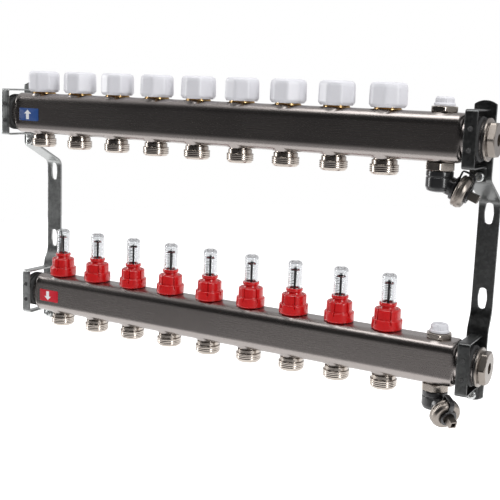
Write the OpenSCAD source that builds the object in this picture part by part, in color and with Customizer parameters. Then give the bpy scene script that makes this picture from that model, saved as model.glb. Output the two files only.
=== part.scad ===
// Underfloor heating manifold: a return rail with cap-operated valves above a supply rail with
// flow meters, both strapped to two cranked wall strips.
// X runs along the rails, Y points into the wall and Z is up. The origin lies on the wall,
// midway between the two screw slots of the left strip. All sizes are in millimetres.

/* [Loops] */
// Number of heating loops
loops = 9; // [3:1:9]
// Distance between two loops
loop_pitch = 50; // [46:1:60]
// First loop from the left strip's centre
first_loop_x = 38; // [36:1:60]
// Last loop to the vent and drain
service_gap = 52; // [50:1:60]

/* [Rails] */
// Height of a rail
rail_h = 43; // [40:1:48]
// Depth of a rail
rail_d = 34; // [34:1:38]
// Corner radius of the rail's section
rail_r = 10; // [6:1:14]
// Wall of the rail
rail_wall = 1.5; // [1:0.1:2]
// Return rail's axis in front of the wall
return_out = 62; // [58:1:70]
// Return rail's axis above the origin
return_z = 110; // [105:1:120]
// Supply rail's axis in front of the wall
supply_out = 30; // [30:1:34]
// Supply rail's axis below the origin
supply_z = -98; // [-105:1:-98]
// Outer radius of the round neck at each end
neck_r = 16.8; // [16.5:0.1:16.9]
// Core radius of the one-inch female thread in the neck
inlet_r = 15.15; // [15:0.05:15.2]
// Neck's reach past the rail's end
neck_len = 17.5; // [16:0.5:20]
// Rail's end to the strip's centre
end_gap = 9; // [8:0.5:10]

/* [Outlets] */
// Radius over the three-quarter-inch male thread
outlet_r = 13.2; // [13:0.1:13.3]
// Length of the threaded band
outlet_thread = 9.2; // [8:0.1:10]
// Reach of the outlet below the rail
outlet_len = 14.7; // [14:0.1:16]
// Bore of the outlet
outlet_bore_r = 8; // [7:0.5:8]

/* [Return valves] */
// Half-width of the hand cap across its corners
cap_r = 17.9; // [16.8:0.1:18.4]
// Height of the hand cap
cap_h = 22.3; // [21:0.1:24]
// Gap under the hand cap when screwed down
cap_gap = 1.7; // [1:0.1:3]
// Radius over the valve collar's thread
collar_r = 13.9; // [13.5:0.1:14]
// Radius of the valve pin
pin_r = 2; // [1.5:0.1:2.5]

/* [Flow meters] */
// Radius of the regulating knob
knob_r = 14.9; // [14:0.1:16]
// Height of the knob's wide lower tier
knob_tier = 9.8; // [8:0.1:12]
// Height of the whole knob
knob_h = 20.1; // [18:0.1:22]
// Outer radius of the sight glass
glass_r = 7.35; // [7:0.05:8]
// Top of the sight glass above the rail
glass_top = 54; // [50:0.5:60]
// Radius of the indicator rod
rod_r = 1.2; // [1:0.1:1.5]

/* [Drains] */
// Slope of the drain's outlet below the horizontal
drain_tilt = 22; // [15:1:30]
// Return drain's outlet, turned from the rail's direction
return_swivel = 5; // [-140:1:5]
// Supply drain's outlet, turned from the rail's direction
supply_swivel = -41; // [-140:1:5]
// Radius of the drain's body
drain_r = 12; // [11.5:0.5:12.5]
// Radius of the drain's cap
drain_cap_r = 14.4; // [14:0.1:14.6]

/* [Brackets] */
// Width of a wall strip
strip_w = 20; // [18:1:22]
// Thickness of a wall strip
strip_t = 2.5; // [2:0.5:3]
// Rail's axis to the strip's front face
strip_back = 20; // [20:0.1:20.4]
// Distance between a strip's screw slots
slot_pitch = 80; // [70:1:80]
// Length of a screw slot
slot_len = 20; // [16:1:20]
// Width of a screw slot
slot_w = 8.6; // [6:0.1:9]
// Width of a clamp strap
strap_w = 11; // [10:0.5:12]
// Thickness of a clamp strap
strap_t = 1.8; // [1.5:0.1:2]
// Height of a clamp strap over its legs
strap_h = 50.6; // [50:0.1:52]

/* [Hidden] */
$fn = 64;
clear = 0.3;       // between pieces that move past each other
running = 0.05;    // radial clearance of a shaft in its bore
service_end = 21;  // vent and drain to the rail's right-hand end
return_y = -return_out;
supply_y = -supply_out;
last_loop_x = first_loop_x + (loops - 1) * loop_pitch;
service_x = last_loop_x + service_gap;
rail_x0 = end_gap;
rail_x1 = service_x + service_end;
right_x = rail_x1 + end_gap;
rail_top = rail_h / 2;
stub_r = 9.5;      // every insert's plug in the rail's wall
stub_len = 3;
liner_w = 13;
liner_r = strip_back - 0.4;
gasket_t = 1;
flange_r = 18.5;
flange_t = 2.4;
plug_hex_r = 16.7;
plug_hex_len = 7.2;
plug_reach = 14;   // plug's thread in the neck
seat_z = -rail_top + rail_wall + 1;
collar_neck = 4.5;
collar_len = 11;
stem_len = 9;
disc_r = 10.5;
disc_t = 3;
cap_roof = 3;
knob_bore_r = 9.3;
lip_h = 3;
lip_r = 8.6;
glass_wall = 1.7;
glass_z = rail_top + knob_h + 6.2;
disc_z = rail_top + 46;
vane_z = -5;
vent_hex_r = 12.8;
vent_hex_h = 5;
vent_knob_r = 9.3;
vent_knob_h = 8;
nut_r = 13.9;
nut_h = 7.5;
spigot_r = 9;
spigot_len = 7;
drain_len = 18.5;
drain_axis = 16.5; // outlet's axis below the rail
outlet_end = 24;   // end of the drain's outlet along its own axis
drain_cap_s = 17.4;
drain_cap_len = 9.4;
drain_face = drain_cap_s + drain_cap_len;
key_w = 7;
key_len = 11;
strap_rise = 16.4; // strap's run over the drain cap, from the outlet's axis
label_w = 27;
label_h = 13.5;
screw_drop = 33.5; // clamp screw below the rail's axis
tab_drop = 37.5;
strip_over = 33;   // strip's top above the return rail's axis
strip_under = 39;  // strip's lower end below the supply rail's axis
slot_end = slot_pitch / 2 + slot_len / 2;
crank = 15;        // height that the lower crank takes up
nib_r = 1.5;
nib_head_r = 2.4;
nib_len = 2.4;
nib_z = 9;         // nibs above and below the rail's axis
screw_r = 2.1;
screw_len = 9;
screw_head_r = 4.3;
screw_head_h = 2.6;
tongue_w = 7;      // clamp's tongue through the strip
vent_pin_r = 3;
drain_water_r = 6; // water way through a drain's spigot and barrel
drain_pipe_r = 8.6;
drain_thread_r = 10.4;
drain_thread_s = 16.8; // start of the outlet's thread along its axis

FIXED = ["return_rail", "supply_rail", "outlet_nipples", "valve_inserts", "meter_bases",
         "sight_glasses", "left_wall_strip", "right_wall_strip", "clamp_straps", "rubber_seals",
         "clamp_screws", "end_plugs", "vent_bodies", "drain_nipples", "return_label",
         "supply_label"];
DRAIN = ["return_drain_body", "return_drain_strap", "return_drain_cap",
         "supply_drain_body", "supply_drain_strap", "supply_drain_cap"];

function loop_x(i) = first_loop_x + (i - 1) * loop_pitch;

// ---- places ----

module at_return(x) {
    translate([x, return_y, return_z]) children();
}

module at_supply(x) {
    translate([x, supply_y, supply_z]) children();
}

module at_both(x) {
    at_return(x) children();
    at_supply(x) children();
}

module at_return_loops() {
    for (i = [1:loops]) at_return(loop_x(i)) children();
}

module at_supply_loops() {
    for (i = [1:loops]) at_supply(loop_x(i)) children();
}

// Lays a shape that is drawn along Z down along X.
module along_x() {
    rotate([90, 0, 90]) children();
}

// The frame of a drain's outlet: X along the outlet, origin on the body's axis.
module at_outlet(swivel) {
    translate([0, 0, -rail_top - drain_axis]) rotate([0, drain_tilt, swivel]) children();
}

// ---- shared shapes ----

module rounded_section(w, h, r) {
    square([w - 2 * r, h], center = true);
    square([w, h - 2 * r], center = true);
    for (a = [-1, 1], b = [-1, 1])
        translate([a * (w / 2 - r), b * (h / 2 - r)]) circle(r);
}

module tube(r_out, r_in, h) {
    difference() {
        cylinder(r = r_out, h = h);
        translate([0, 0, -1]) cylinder(r = r_in, h = h + 2);
    }
}

// A hexagon nut's body with its corners turned off at both faces.
module hexagon(r, h) {
    bevel = r * 0.07;
    intersection() {
        cylinder(r = r, h = h, $fn = 6);
        rotate_extrude() polygon([[0, 0], [r - bevel, 0], [r, bevel], [r, h - bevel],
                                  [r - bevel, h], [0, h]]);
    }
}

// ---- rails ----

// One rail about its own axis: a rounded tube with closed ends, a threaded neck at each end,
// and a hole above and below for every loop and for the vent and the drain.
module rail() {
    len = rail_x1 - rail_x0;
    difference() {
        union() {
            translate([rail_x0, 0, 0]) along_x()
                linear_extrude(len) rounded_section(rail_d, rail_h, rail_r);
            translate([rail_x0 - neck_len, 0, 0]) along_x()
                cylinder(r = neck_r, h = len + 2 * neck_len);
        }
        translate([rail_x0 + rail_wall, 0, 0]) along_x()
            linear_extrude(len - 2 * rail_wall)
                rounded_section(rail_d - 2 * rail_wall, rail_h - 2 * rail_wall,
                                rail_r - rail_wall);
        translate([rail_x0 - neck_len - 1, 0, 0]) along_x()
            cylinder(r = inlet_r, h = len + 2 * neck_len + 2);
        for (i = [1:loops]) translate([loop_x(i), 0, -rail_h])
            cylinder(r = stub_r + running, h = 2 * rail_h);
        translate([service_x, 0, -rail_h]) cylinder(r = stub_r + running, h = 2 * rail_h);
    }
}

module return_rail() {
    color("dimgray") at_return(0) rail();
}

module supply_rail() {
    color("gray") at_supply(0) rail();
}

// Plug of an insert in the rail's top or bottom wall, drawn upwards from the shoulder.
module stub(bore_r, reach = stub_len) {
    tube(stub_r, bore_r, reach);
}

module outlet_nipple() {
    neck = outlet_len - outlet_thread - 1;
    translate([0, 0, -rail_top]) stub(outlet_bore_r);
    translate([0, 0, -rail_top - outlet_len]) difference() {
        rotate_extrude() polygon([[0, 0], [outlet_r - 1, 0], [outlet_r, 1],
                                  [outlet_r, outlet_thread + 1],
                                  [outlet_r - 2.2, outlet_thread + 1],
                                  [outlet_r - 2.2, outlet_thread + 1 + neck],
                                  [0, outlet_thread + 1 + neck]]);
        translate([0, 0, -1]) cylinder(r = outlet_bore_r, h = outlet_len + 2);
    }
}

module outlet_nipples() {
    color("silver") {
        at_return_loops() outlet_nipple();
        at_supply_loops() outlet_nipple();
    }
}

// ---- return valves ----

// Brass insert: stem inside the rail, waist and threaded collar above it, guide for the pin.
module valve_insert() {
    translate([0, 0, rail_top]) difference() {
        union() {
            translate([0, 0, -stem_len]) cylinder(r = stub_r, h = stem_len);
            cylinder(r = collar_r - 1.3, h = collar_neck);
            translate([0, 0, collar_neck]) cylinder(r = collar_r, h = collar_len);
        }
        translate([0, 0, -stem_len - 1])
            cylinder(r = pin_r + running, h = stem_len + collar_neck + collar_len + 2);
    }
}

module valve_inserts() {
    color("goldenrod") at_return_loops() valve_insert();
}

// Pin with the sealing disc that closes on the outlet's seat.
module valve_pin(i) {
    pin_top = rail_top + cap_gap + cap_h - cap_roof - clear;
    disc_low = seat_z + clear + 0.5;
    color("lightgray") at_return(loop_x(i)) {
        translate([0, 0, disc_low]) cylinder(r = disc_r, h = disc_t);
        translate([0, 0, disc_low]) cylinder(r = pin_r, h = pin_top - disc_low);
    }
}

// Octagonal hand cap with rounded-off corners at the top and a narrower foot.
module return_cap(i) {
    turned = i * 16;
    color("white") at_return(loop_x(i)) translate([0, 0, rail_top + cap_gap]) rotate(turned)
        difference() {
            intersection() {
                cylinder(r = cap_r, h = cap_h, $fn = 8);
                rotate_extrude() polygon([[0, 0], [cap_r - 1.6, 0], [cap_r, 2.4],
                                          [cap_r - 0.3, cap_h - 3], [cap_r - 1.2, cap_h - 1],
                                          [cap_r - 3, cap_h], [0, cap_h]]);
            }
            translate([0, 0, -1]) cylinder(r = collar_r + clear, h = cap_h - cap_roof + 1);
        }
}

// ---- flow meters ----

// Fixed red base: plug in the rail, spigot inside the knob, and the lipped collar under the glass.
module meter_base() {
    spigot_h = knob_h + 2 * clear;
    lip_z = glass_z - rail_top - lip_h;
    translate([0, 0, rail_top]) difference() {
        union() {
            translate([0, 0, -stem_len]) cylinder(r = stub_r, h = stem_len);
            cylinder(r = knob_bore_r - clear, h = spigot_h);
            translate([0, 0, spigot_h]) cylinder(r = glass_r + 0.2, h = lip_z - spigot_h);
            translate([0, 0, lip_z]) cylinder(r = lip_r, h = lip_h);
        }
        translate([0, 0, -stem_len - 1])
            cylinder(r = rod_r + running, h = stem_len + lip_z + lip_h + 2);
    }
}

module meter_bases() {
    color("firebrick") at_supply_loops() meter_base();
}

module flow_knob(i) {
    color("red") at_supply(loop_x(i)) translate([0, 0, rail_top + clear]) difference() {
        rotate_extrude() polygon([[0, 0], [knob_r - 0.6, 0], [knob_r, 0.6],
                                  [knob_r - 0.3, knob_tier], [knob_r - 2.2, knob_tier],
                                  [knob_r - 2.4, knob_h - 1], [knob_r - 3.2, knob_h],
                                  [0, knob_h]]);
        translate([0, 0, -1]) cylinder(r = knob_bore_r, h = knob_h + 2);
    }
}

// Round-topped glass tube standing on the collar's lip.
module sight_glass() {
    tube_h = rail_top + glass_top - glass_z - glass_r;
    inner_r = glass_r - glass_wall;
    translate([0, 0, glass_z]) difference() {
        union() {
            cylinder(r = glass_r, h = tube_h);
            translate([0, 0, tube_h]) sphere(r = glass_r);
        }
        translate([0, 0, -1]) cylinder(r = inner_r, h = tube_h + 1);
        translate([0, 0, tube_h]) sphere(r = inner_r);
        translate([0, 0, -20]) cylinder(r = 20, h = 20);
    }
}

module sight_glasses() {
    color("lightcyan", 0.4) at_supply_loops() sight_glass();
}

// Indicator: disc in the glass, rod through the base, and the vane in the stream below.
module flow_float(i) {
    color("black") at_supply(loop_x(i)) {
        translate([0, 0, vane_z]) cylinder(r = rod_r, h = disc_z - vane_z);
        translate([0, 0, vane_z]) cylinder(r = stub_r - 1, h = 1.5);
        translate([0, 0, disc_z - 1.2]) cylinder(r = 4.6, h = 2.4);
    }
}

// ---- vents and drains ----

module vent_body() {
    translate([0, 0, rail_top]) difference() {
        union() {
            translate([0, 0, -stem_len]) cylinder(r = stub_r, h = stem_len);
            hexagon(vent_hex_r, vent_hex_h);
        }
        translate([0, 0, -stem_len - 1])
            cylinder(r = vent_pin_r + running, h = stem_len + vent_hex_h + 2);
    }
}

module vent_bodies() {
    color("silver") at_both(service_x) vent_body();
}

// Slotted round knob on the vent's screw.
module vent_screw() {
    color("white") translate([0, 0, rail_top + vent_hex_h + clear]) {
        translate([0, 0, -12]) cylinder(r = vent_pin_r, h = 12.5);
        difference() {
            rotate_extrude() polygon([[0, 0], [vent_knob_r, 0], [vent_knob_r, 2.4],
                                      [vent_knob_r - 1, 3], [vent_knob_r - 1.2, vent_knob_h - 1.2],
                                      [vent_knob_r - 2.4, vent_knob_h], [0, vent_knob_h]]);
            translate([-6, -0.8, vent_knob_h - 1.6]) cube([12, 1.6, 4]);
        }
    }
}

// Hexagon nut under the rail with the spigot that the drain's body turns on.
module drain_nipple() {
    translate([0, 0, -rail_top]) stub(drain_water_r);
    translate([0, 0, -rail_top]) difference() {
        union() {
            translate([0, 0, -nut_h]) rotate(15) hexagon(nut_r, nut_h);
            translate([0, 0, -nut_h - spigot_len]) cylinder(r = spigot_r, h = spigot_len);
        }
        translate([0, 0, -nut_h - spigot_len - 1])
            cylinder(r = drain_water_r, h = nut_h + spigot_len + 2);
    }
}

module drain_nipples() {
    color("silver") at_both(service_x) drain_nipple();
}

// Swivelling body: an upright barrel round the spigot and a sloping threaded outlet.
module drain_body(swivel) {
    top = -rail_top - nut_h - clear;
    color("black") difference() {
        union() {
            translate([0, 0, top - drain_len]) rotate_extrude()
                polygon([[0, 0], [drain_r - 4, 0], [drain_r - 1.2, 1], [drain_r, 3.2],
                         [drain_r, drain_len], [0, drain_len]]);
            at_outlet(swivel) rotate([0, 90, 0])
                cylinder(r = drain_pipe_r, h = outlet_end);
            at_outlet(swivel) translate([drain_thread_s, 0, 0]) rotate([0, 90, 0])
                cylinder(r = drain_thread_r, h = outlet_end - drain_thread_s);
        }
        translate([0, 0, top - spigot_len]) cylinder(r = spigot_r + running, h = spigot_len + 1);
        translate([0, 0, top - drain_len + 4]) cylinder(r = drain_water_r, h = drain_len - 4);
        at_outlet(swivel) rotate([0, 90, 0]) cylinder(r = 5.5, h = outlet_end + 1);
    }
}

// Moulded strap: a ring on the outlet's neck, a run over the cap, and a loop round its key.
module drain_strap(swivel) {
    run_w = 5;
    run_t = 1.5;
    ring_s = 13.6;
    ring_r = 10.2;
    loop_s = drain_face + clear;
    color("black") at_outlet(swivel) {
        translate([ring_s, 0, 0]) rotate([0, 90, 0]) tube(10.6, drain_pipe_r, 2.6);
        translate([ring_s, -run_w / 2, ring_r]) cube([2.6, run_w, strap_rise - ring_r]);
        translate([ring_s, -run_w / 2, strap_rise]) cube([loop_s + 2 - ring_s, run_w, run_t]);
        translate([loop_s, -run_w / 2, 7.6]) cube([2, run_w, strap_rise - 7.6]);
        translate([loop_s, 0, 0]) rotate([0, 90, 0]) tube(8, 5.6, 2);
    }
}

// Closing cap with the square key on its face.
module drain_cap(swivel) {
    color("silver") at_outlet(swivel) translate([drain_cap_s, 0, 0]) rotate([0, 90, 0])
        difference() {
            union() {
                rotate_extrude()
                    polygon([[0, 0], [drain_cap_r - 0.8, 0], [drain_cap_r, 0.8],
                             [drain_cap_r, 6.2], [drain_cap_r - 1.4, drain_cap_len],
                             [0, drain_cap_len]]);
                translate([-key_w / 2, -key_w / 2, drain_cap_len]) cube([key_w, key_w, key_len]);
            }
            translate([0, 0, -1])
                cylinder(r = drain_thread_r + clear, h = outlet_end - drain_cap_s + 1.4);
            translate([-2.2, -2.2, drain_cap_len + key_len - 5]) cube([4.4, 4.4, 6]);
        }
}

// ---- ends ----

// Flanged hexagon plug in a neck's female thread.
module end_plug() {
    translate([rail_x1 + neck_len - plug_reach, 0, 0]) along_x()
        cylinder(r = inlet_r - running, h = plug_reach + gasket_t);
    translate([rail_x1 + neck_len + gasket_t, 0, 0]) along_x() {
        cylinder(r = flange_r, h = flange_t);
        translate([0, 0, flange_t]) hexagon(plug_hex_r, plug_hex_len);
    }
}

module end_plugs() {
    color("silver") at_both(0) end_plug();
}

// Liner ring with two nibs that button through the clamp's front plate.
module liner() {
    plate_front = liner_r + strap_t;
    translate([-liner_w / 2, 0, 0]) along_x() tube(liner_r, neck_r, liner_w);
    for (z = [-nib_z, nib_z]) translate([0, 0, z]) rotate([90, 0, 0]) {
        translate([0, 0, neck_r]) cylinder(r = nib_r, h = plate_front - neck_r);
        translate([0, 0, plate_front]) cylinder(r1 = nib_head_r, r2 = nib_head_r / 3, h = nib_len);
    }
}

// Rubber liners between the necks and their clamps, and the gaskets under the plugs.
module rubber_seals() {
    color("black") {
        at_both(0) liner();
        at_both(right_x) liner();
        at_both(rail_x1 + neck_len) along_x() tube(flange_r - 0.6, inlet_r, gasket_t);
    }
}

// ---- brackets ----

// Front face of a wall strip as [y, z] corners, from its top end down to its lower end.
STRIP = [[return_y + strip_back, return_z + strip_over],
         [return_y + strip_back, return_z - tab_drop - 0.5],
         [-strip_t, slot_end + 1.5],
         [-strip_t, -slot_end - 4],
         [supply_y + strip_back, -slot_end - 4 - crank],
         [supply_y + strip_back, supply_z - strip_under]];

function unit(v) = v / norm(v);
// Normal of a run of the strip, pointing at the wall.
function run_normal(a, b) = let (d = unit(b - a)) [-d[1], d[0]];
// The back face's corner behind corner i, so that the sheet keeps its thickness round each bend.
function back_corner(i) =
    let (n1 = run_normal(STRIP[max(i - 1, 0)], STRIP[max(i, 1)]),
         last = len(STRIP) - 1,
         n2 = run_normal(STRIP[min(i, last - 1)], STRIP[min(i + 1, last)]),
         m = unit(n1 + n2))
    STRIP[i] + m * strip_t / (m * n1);

module strip_sheet() {
    last = len(STRIP) - 1;
    back = [for (i = [last:-1:0]) back_corner(i)];
    translate([-strip_w / 2, 0, 0]) along_x() linear_extrude(strip_w) polygon(concat(STRIP, back));
}

// Outline of the strip as the wall sees it: straight sides and bowed ends.
module strip_outline() {
    bow_r = 0.8 * strip_w;
    top = return_z + strip_over;
    low = supply_z - strip_under;
    translate([-strip_w / 2, low + bow_r]) square([strip_w, top - low - 2 * bow_r]);
    translate([0, top - bow_r]) circle(bow_r);
    translate([0, low + bow_r]) circle(bow_r);
}

module slot_hole(z) {
    run = slot_len - slot_w;
    for (s = [-1, 1]) translate([0, 1, z + s * run / 2]) rotate([90, 0, 0])
        cylinder(r = slot_w / 2, h = strip_t + 2);
    translate([-slot_w / 2, -strip_t - 1, z - run / 2]) cube([slot_w, strip_t + 2, run]);
}

module wall_strip(x) {
    color("darkgray") translate([x, 0, 0]) difference() {
        intersection() {
            strip_sheet();
            translate([0, 10, 0]) rotate([90, 0, 0]) linear_extrude(100) strip_outline();
        }
        slot_hole(slot_pitch / 2);
        slot_hole(-slot_pitch / 2);
        for (rail = [[return_y, return_z], [supply_y, supply_z]])
            translate([0, rail[0] + strip_back, rail[1]]) {
                translate([0, strip_t + 1, -screw_drop]) rotate([90, 0, 0])
                    cylinder(r = screw_r + running, h = strip_t + 2);
                translate([-tongue_w / 2 - clear, -1, strap_h / 2 - strap_t - clear])
                    cube([tongue_w + 2 * clear, strip_t + 2, strap_t + 2 * clear]);
            }
    }
}

module left_wall_strip() {
    wall_strip(0);
}

module right_wall_strip() {
    wall_strip(right_x);
}

// Strap about the rail's axis: front plate, two legs, a tongue through the strip at the top
// and a screw tab at the bottom.
module clamp_strap() {
    front = -liner_r - strap_t;
    depth = strip_back - front;
    half = strap_h / 2;
    difference() {
        translate([-strap_w / 2, front, -half]) cube([strap_w, strap_t, strap_h]);
        for (z = [-nib_z, nib_z]) translate([0, front + strap_t + 1, z]) rotate([90, 0, 0])
            cylinder(r = nib_r + running, h = strap_t + 2);
    }
    for (z = [-half, half - strap_t])
        translate([-strap_w / 2, front, z]) cube([strap_w, depth, strap_t]);
    translate([-tongue_w / 2, front, half - strap_t])
        cube([tongue_w, depth + strip_t + 1.5, strap_t]);
    difference() {
        translate([-strap_w / 2, strip_back - strap_t, -tab_drop])
            cube([strap_w, strap_t, tab_drop - half + strap_t]);
        translate([0, strip_back + 1, -screw_drop]) rotate([90, 0, 0])
            cylinder(r = 2.5, h = strap_t + 2);
    }
}

module clamp_straps() {
    color("slategray") {
        at_both(0) clamp_strap();
        at_both(right_x) clamp_strap();
    }
}

// Pan-head screw through the tab into the strip, with a cross recess.
module clamp_screw() {
    recess = 4.4;
    translate([0, strip_back - strap_t, -screw_drop]) rotate([90, 0, 0]) {
        difference() {
            rotate_extrude() polygon([[0, 0], [screw_head_r, 0], [screw_head_r, 1.2],
                                      [screw_head_r - 1.1, screw_head_h], [0, screw_head_h]]);
            for (a = [0, 90]) rotate(a) translate([-recess / 2, -0.5, screw_head_h - 1.4])
                cube([recess, 1, 2]);
        }
        translate([0, 0, -screw_len]) cylinder(r = screw_r, h = screw_len + 0.5);
    }
}

module clamp_screws() {
    color("gainsboro") {
        at_both(0) clamp_screw();
        at_both(right_x) clamp_screw();
    }
}

// Flow-direction label near the rail's left end.
module label() {
    translate([rail_x0 + 8.5, -rail_d / 2 - 0.3, -label_h / 2 - 1.5])
        cube([label_w, 0.3, label_h]);
}

module return_label() {
    color("royalblue") at_return(0) label();
}

module supply_label() {
    color("red") at_supply(0) label();
}

// ---- nodes ----

return_rail();
supply_rail();
outlet_nipples();
valve_inserts();
meter_bases();
sight_glasses();
left_wall_strip();
right_wall_strip();
clamp_straps();
rubber_seals();
clamp_screws();
end_plugs();
vent_bodies();
drain_nipples();
return_label();
supply_label();
at_return(service_x) vent_screw();  // return_vent_screw
at_supply(service_x) vent_screw();  // supply_vent_screw
at_return(service_x) drain_body(return_swivel);  // return_drain_body
at_return(service_x) drain_strap(return_swivel);  // return_drain_strap
at_return(service_x) drain_cap(return_swivel);  // return_drain_cap
at_supply(service_x) drain_body(supply_swivel);  // supply_drain_body
at_supply(service_x) drain_strap(supply_swivel);  // supply_drain_strap
at_supply(service_x) drain_cap(supply_swivel);  // supply_drain_cap
for (i = [1:loops]) {
    return_cap(i);
    valve_pin(i);
    flow_knob(i);
    flow_float(i);
}
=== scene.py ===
"""Looks of an underfloor heating manifold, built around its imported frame.

The file is laid out as an add-on and run as a script. Every piece is a surface worked out with
numpy from a few sizes and from the frame's own boxes. Shapes are worked out in millimetres and
put into their meshes in metres.
"""
import functools
import math

import bmesh
import bpy
import numpy as np
from mathutils import Matrix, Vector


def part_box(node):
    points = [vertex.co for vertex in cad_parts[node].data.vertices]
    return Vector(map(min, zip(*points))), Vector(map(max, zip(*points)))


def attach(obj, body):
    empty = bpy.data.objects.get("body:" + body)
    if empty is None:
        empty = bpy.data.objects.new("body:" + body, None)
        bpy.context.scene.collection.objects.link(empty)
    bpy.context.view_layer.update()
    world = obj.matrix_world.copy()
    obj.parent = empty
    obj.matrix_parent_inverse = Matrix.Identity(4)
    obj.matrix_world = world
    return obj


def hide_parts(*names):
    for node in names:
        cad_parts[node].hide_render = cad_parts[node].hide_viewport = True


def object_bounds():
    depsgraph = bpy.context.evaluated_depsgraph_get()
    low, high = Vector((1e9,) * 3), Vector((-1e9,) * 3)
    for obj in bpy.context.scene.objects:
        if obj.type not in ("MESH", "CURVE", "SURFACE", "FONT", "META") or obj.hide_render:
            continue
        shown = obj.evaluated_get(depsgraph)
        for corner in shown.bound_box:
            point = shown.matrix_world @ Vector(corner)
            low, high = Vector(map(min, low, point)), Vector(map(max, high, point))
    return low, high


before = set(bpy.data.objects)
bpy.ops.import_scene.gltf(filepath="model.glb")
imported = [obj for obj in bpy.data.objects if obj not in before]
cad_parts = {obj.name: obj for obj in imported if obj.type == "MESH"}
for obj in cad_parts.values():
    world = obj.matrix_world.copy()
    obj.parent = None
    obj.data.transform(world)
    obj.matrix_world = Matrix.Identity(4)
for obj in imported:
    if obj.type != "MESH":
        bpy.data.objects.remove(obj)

bl_info = {
    "name": "Underfloor Heating Manifold",
    "version": (1, 0, 0),
    "blender": (4, 5, 0),
    "location": "View3D > Sidebar > Manifold",
    "description": "Pieces and finishes of a heating manifold around its frame",
    "category": "Add Mesh",
}

CAD_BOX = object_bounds()
MM = 0.001
TURN = 2 * math.pi
SIDES = ("return", "supply")
ENDS = ("left", "right")
LOOPS = sum(name.startswith("return_cap_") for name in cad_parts)

# Sizes shared by several pieces, in millimetres.
INLET_PITCH = 2.309     # of the thread inside a rail's neck
SEAT_R = 9.4            # of the spigots that stand in a rail's upper and lower ports
STRIP_BEHIND = 20       # from a rail's axis back to its wall strips
STRIP_SHEET = 2.5       # thickness of a wall strip
CLAMP_SHEET = 1.8       # thickness of a clamp strap
DRAIN_DROP = 16.5       # from a rail's underside down to the axis of its drain's outlet
CLOSURE_FOOT, CLOSURE_FACE = 17.4, 26.8     # ends of a drain's cap along that axis

# Inner radius, outer radius and rise of the rims of a rail's pulled ports.
PORT_RIMS = {"return": (12.75, 15.2, 0.15), "supply": (11.0, 15.2, 0.15),
             "outlet": (12.1, 14.8, 0.5), "service": (10.5, 14.2, 0.1)}


# ---- places in the frame, in millimetres ----

def corners(node):
    """Lowest and highest corner of a node's box."""
    low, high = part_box(node)
    return np.array(low) / MM, np.array(high) / MM


def centre(node):
    low, high = corners(node)
    return (low + high) / 2


def foot(node):
    """Middle of the underside of a node's box."""
    low, high = corners(node)
    return np.array([(low[0] + high[0]) / 2, (low[1] + high[1]) / 2, low[2]])


def rail(side):
    """Axis centre and half extents of one rail, its necks included."""
    low, high = corners(f"{side}_rail")
    return (low + high) / 2, (high - low) / 2


def rail_top(side):
    middle, half = rail(side)
    return middle[2] + half[2]


def rail_bottom(side):
    middle, half = rail(side)
    return middle[2] - half[2]


def loop_x():
    return [centre(f"return_cap_{i}")[0] for i in range(1, LOOPS + 1)]


def service_x():
    return centre("return_vent_screw")[0]


def meter_x():
    return [centre(f"flow_knob_{i}")[0] for i in range(1, LOOPS + 1)]


def strip_x():
    return [centre(f"{end}_wall_strip")[0] for end in ENDS]


def in_line(side, xs, z):
    """A place at each x in a rail's middle plane, all at one height."""
    middle, _ = rail(side)
    return [(x, middle[1], z) for x in xs]


# ---- sizes and colours a user would change ----

def length(label, about, millimetres):
    return bpy.props.FloatProperty(name=label, description=about, default=millimetres * MM,
                                   unit="LENGTH", precision=4)


def angle(label, about, degrees):
    return bpy.props.FloatProperty(name=label, description=about, default=math.radians(degrees),
                                   subtype="ANGLE")


def colour(label, about, red, green, blue):
    return bpy.props.FloatVectorProperty(name=label, description=about, size=3, subtype="COLOR",
                                         default=(red, green, blue), min=0, max=1)


class ManifoldSizes(bpy.types.PropertyGroup):
    """Sizes of the pieces that the frame's boxes don't give."""
    neck: length("Neck", "Reach of a rail's round neck past its end", 17.5)
    end_round: length("End rounding", "Length over which a rail's end closes to its neck", 4.5)
    rail_corner: length("Rail corner", "Corner radius of a rail's section", 10)
    rail_wall: length("Rail wall", "Thickness of a rail's wall", 1.5)
    inlet_thread: length("Inlet thread", "Core radius of the thread inside a neck", 15.15)
    outlet_reach: length("Outlet reach", "Length of an outlet below its rail", 14.7)
    outlet_radius: length("Outlet radius", "Radius over an outlet's thread", 13.2)
    outlet_neck: length("Outlet neck", "Radius of an outlet above its thread", 11.7)
    outlet_bore: length("Outlet bore", "Radius of an outlet's bore", 8)
    thread_pitch: length("Thread pitch", "Pitch of an outlet's thread", 1.814)
    collar_waist: length("Valve waist", "Radius of the brass waist under a hand cap", 12.6)
    knob_tier: length("Knob tier", "Height of a meter knob's wide lower tier", 9.8)
    glass_wall: length("Glass wall", "Thickness of a sight glass", 1.7)
    strip_bend: length("Strip bend", "Bend radius of a wall strip", 9)
    strap_bend: length("Clamp bend", "Bend radius of a clamp strap", 2.6)
    drain_tilt: angle("Drain slope", "Slope of a drain's outlet below the horizontal", 22)
    return_swivel: angle("Return drain", "Turn of the return drain's outlet from the rail", 5)
    supply_swivel: angle("Supply drain", "Turn of the supply drain's outlet from the rail", -41)


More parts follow.
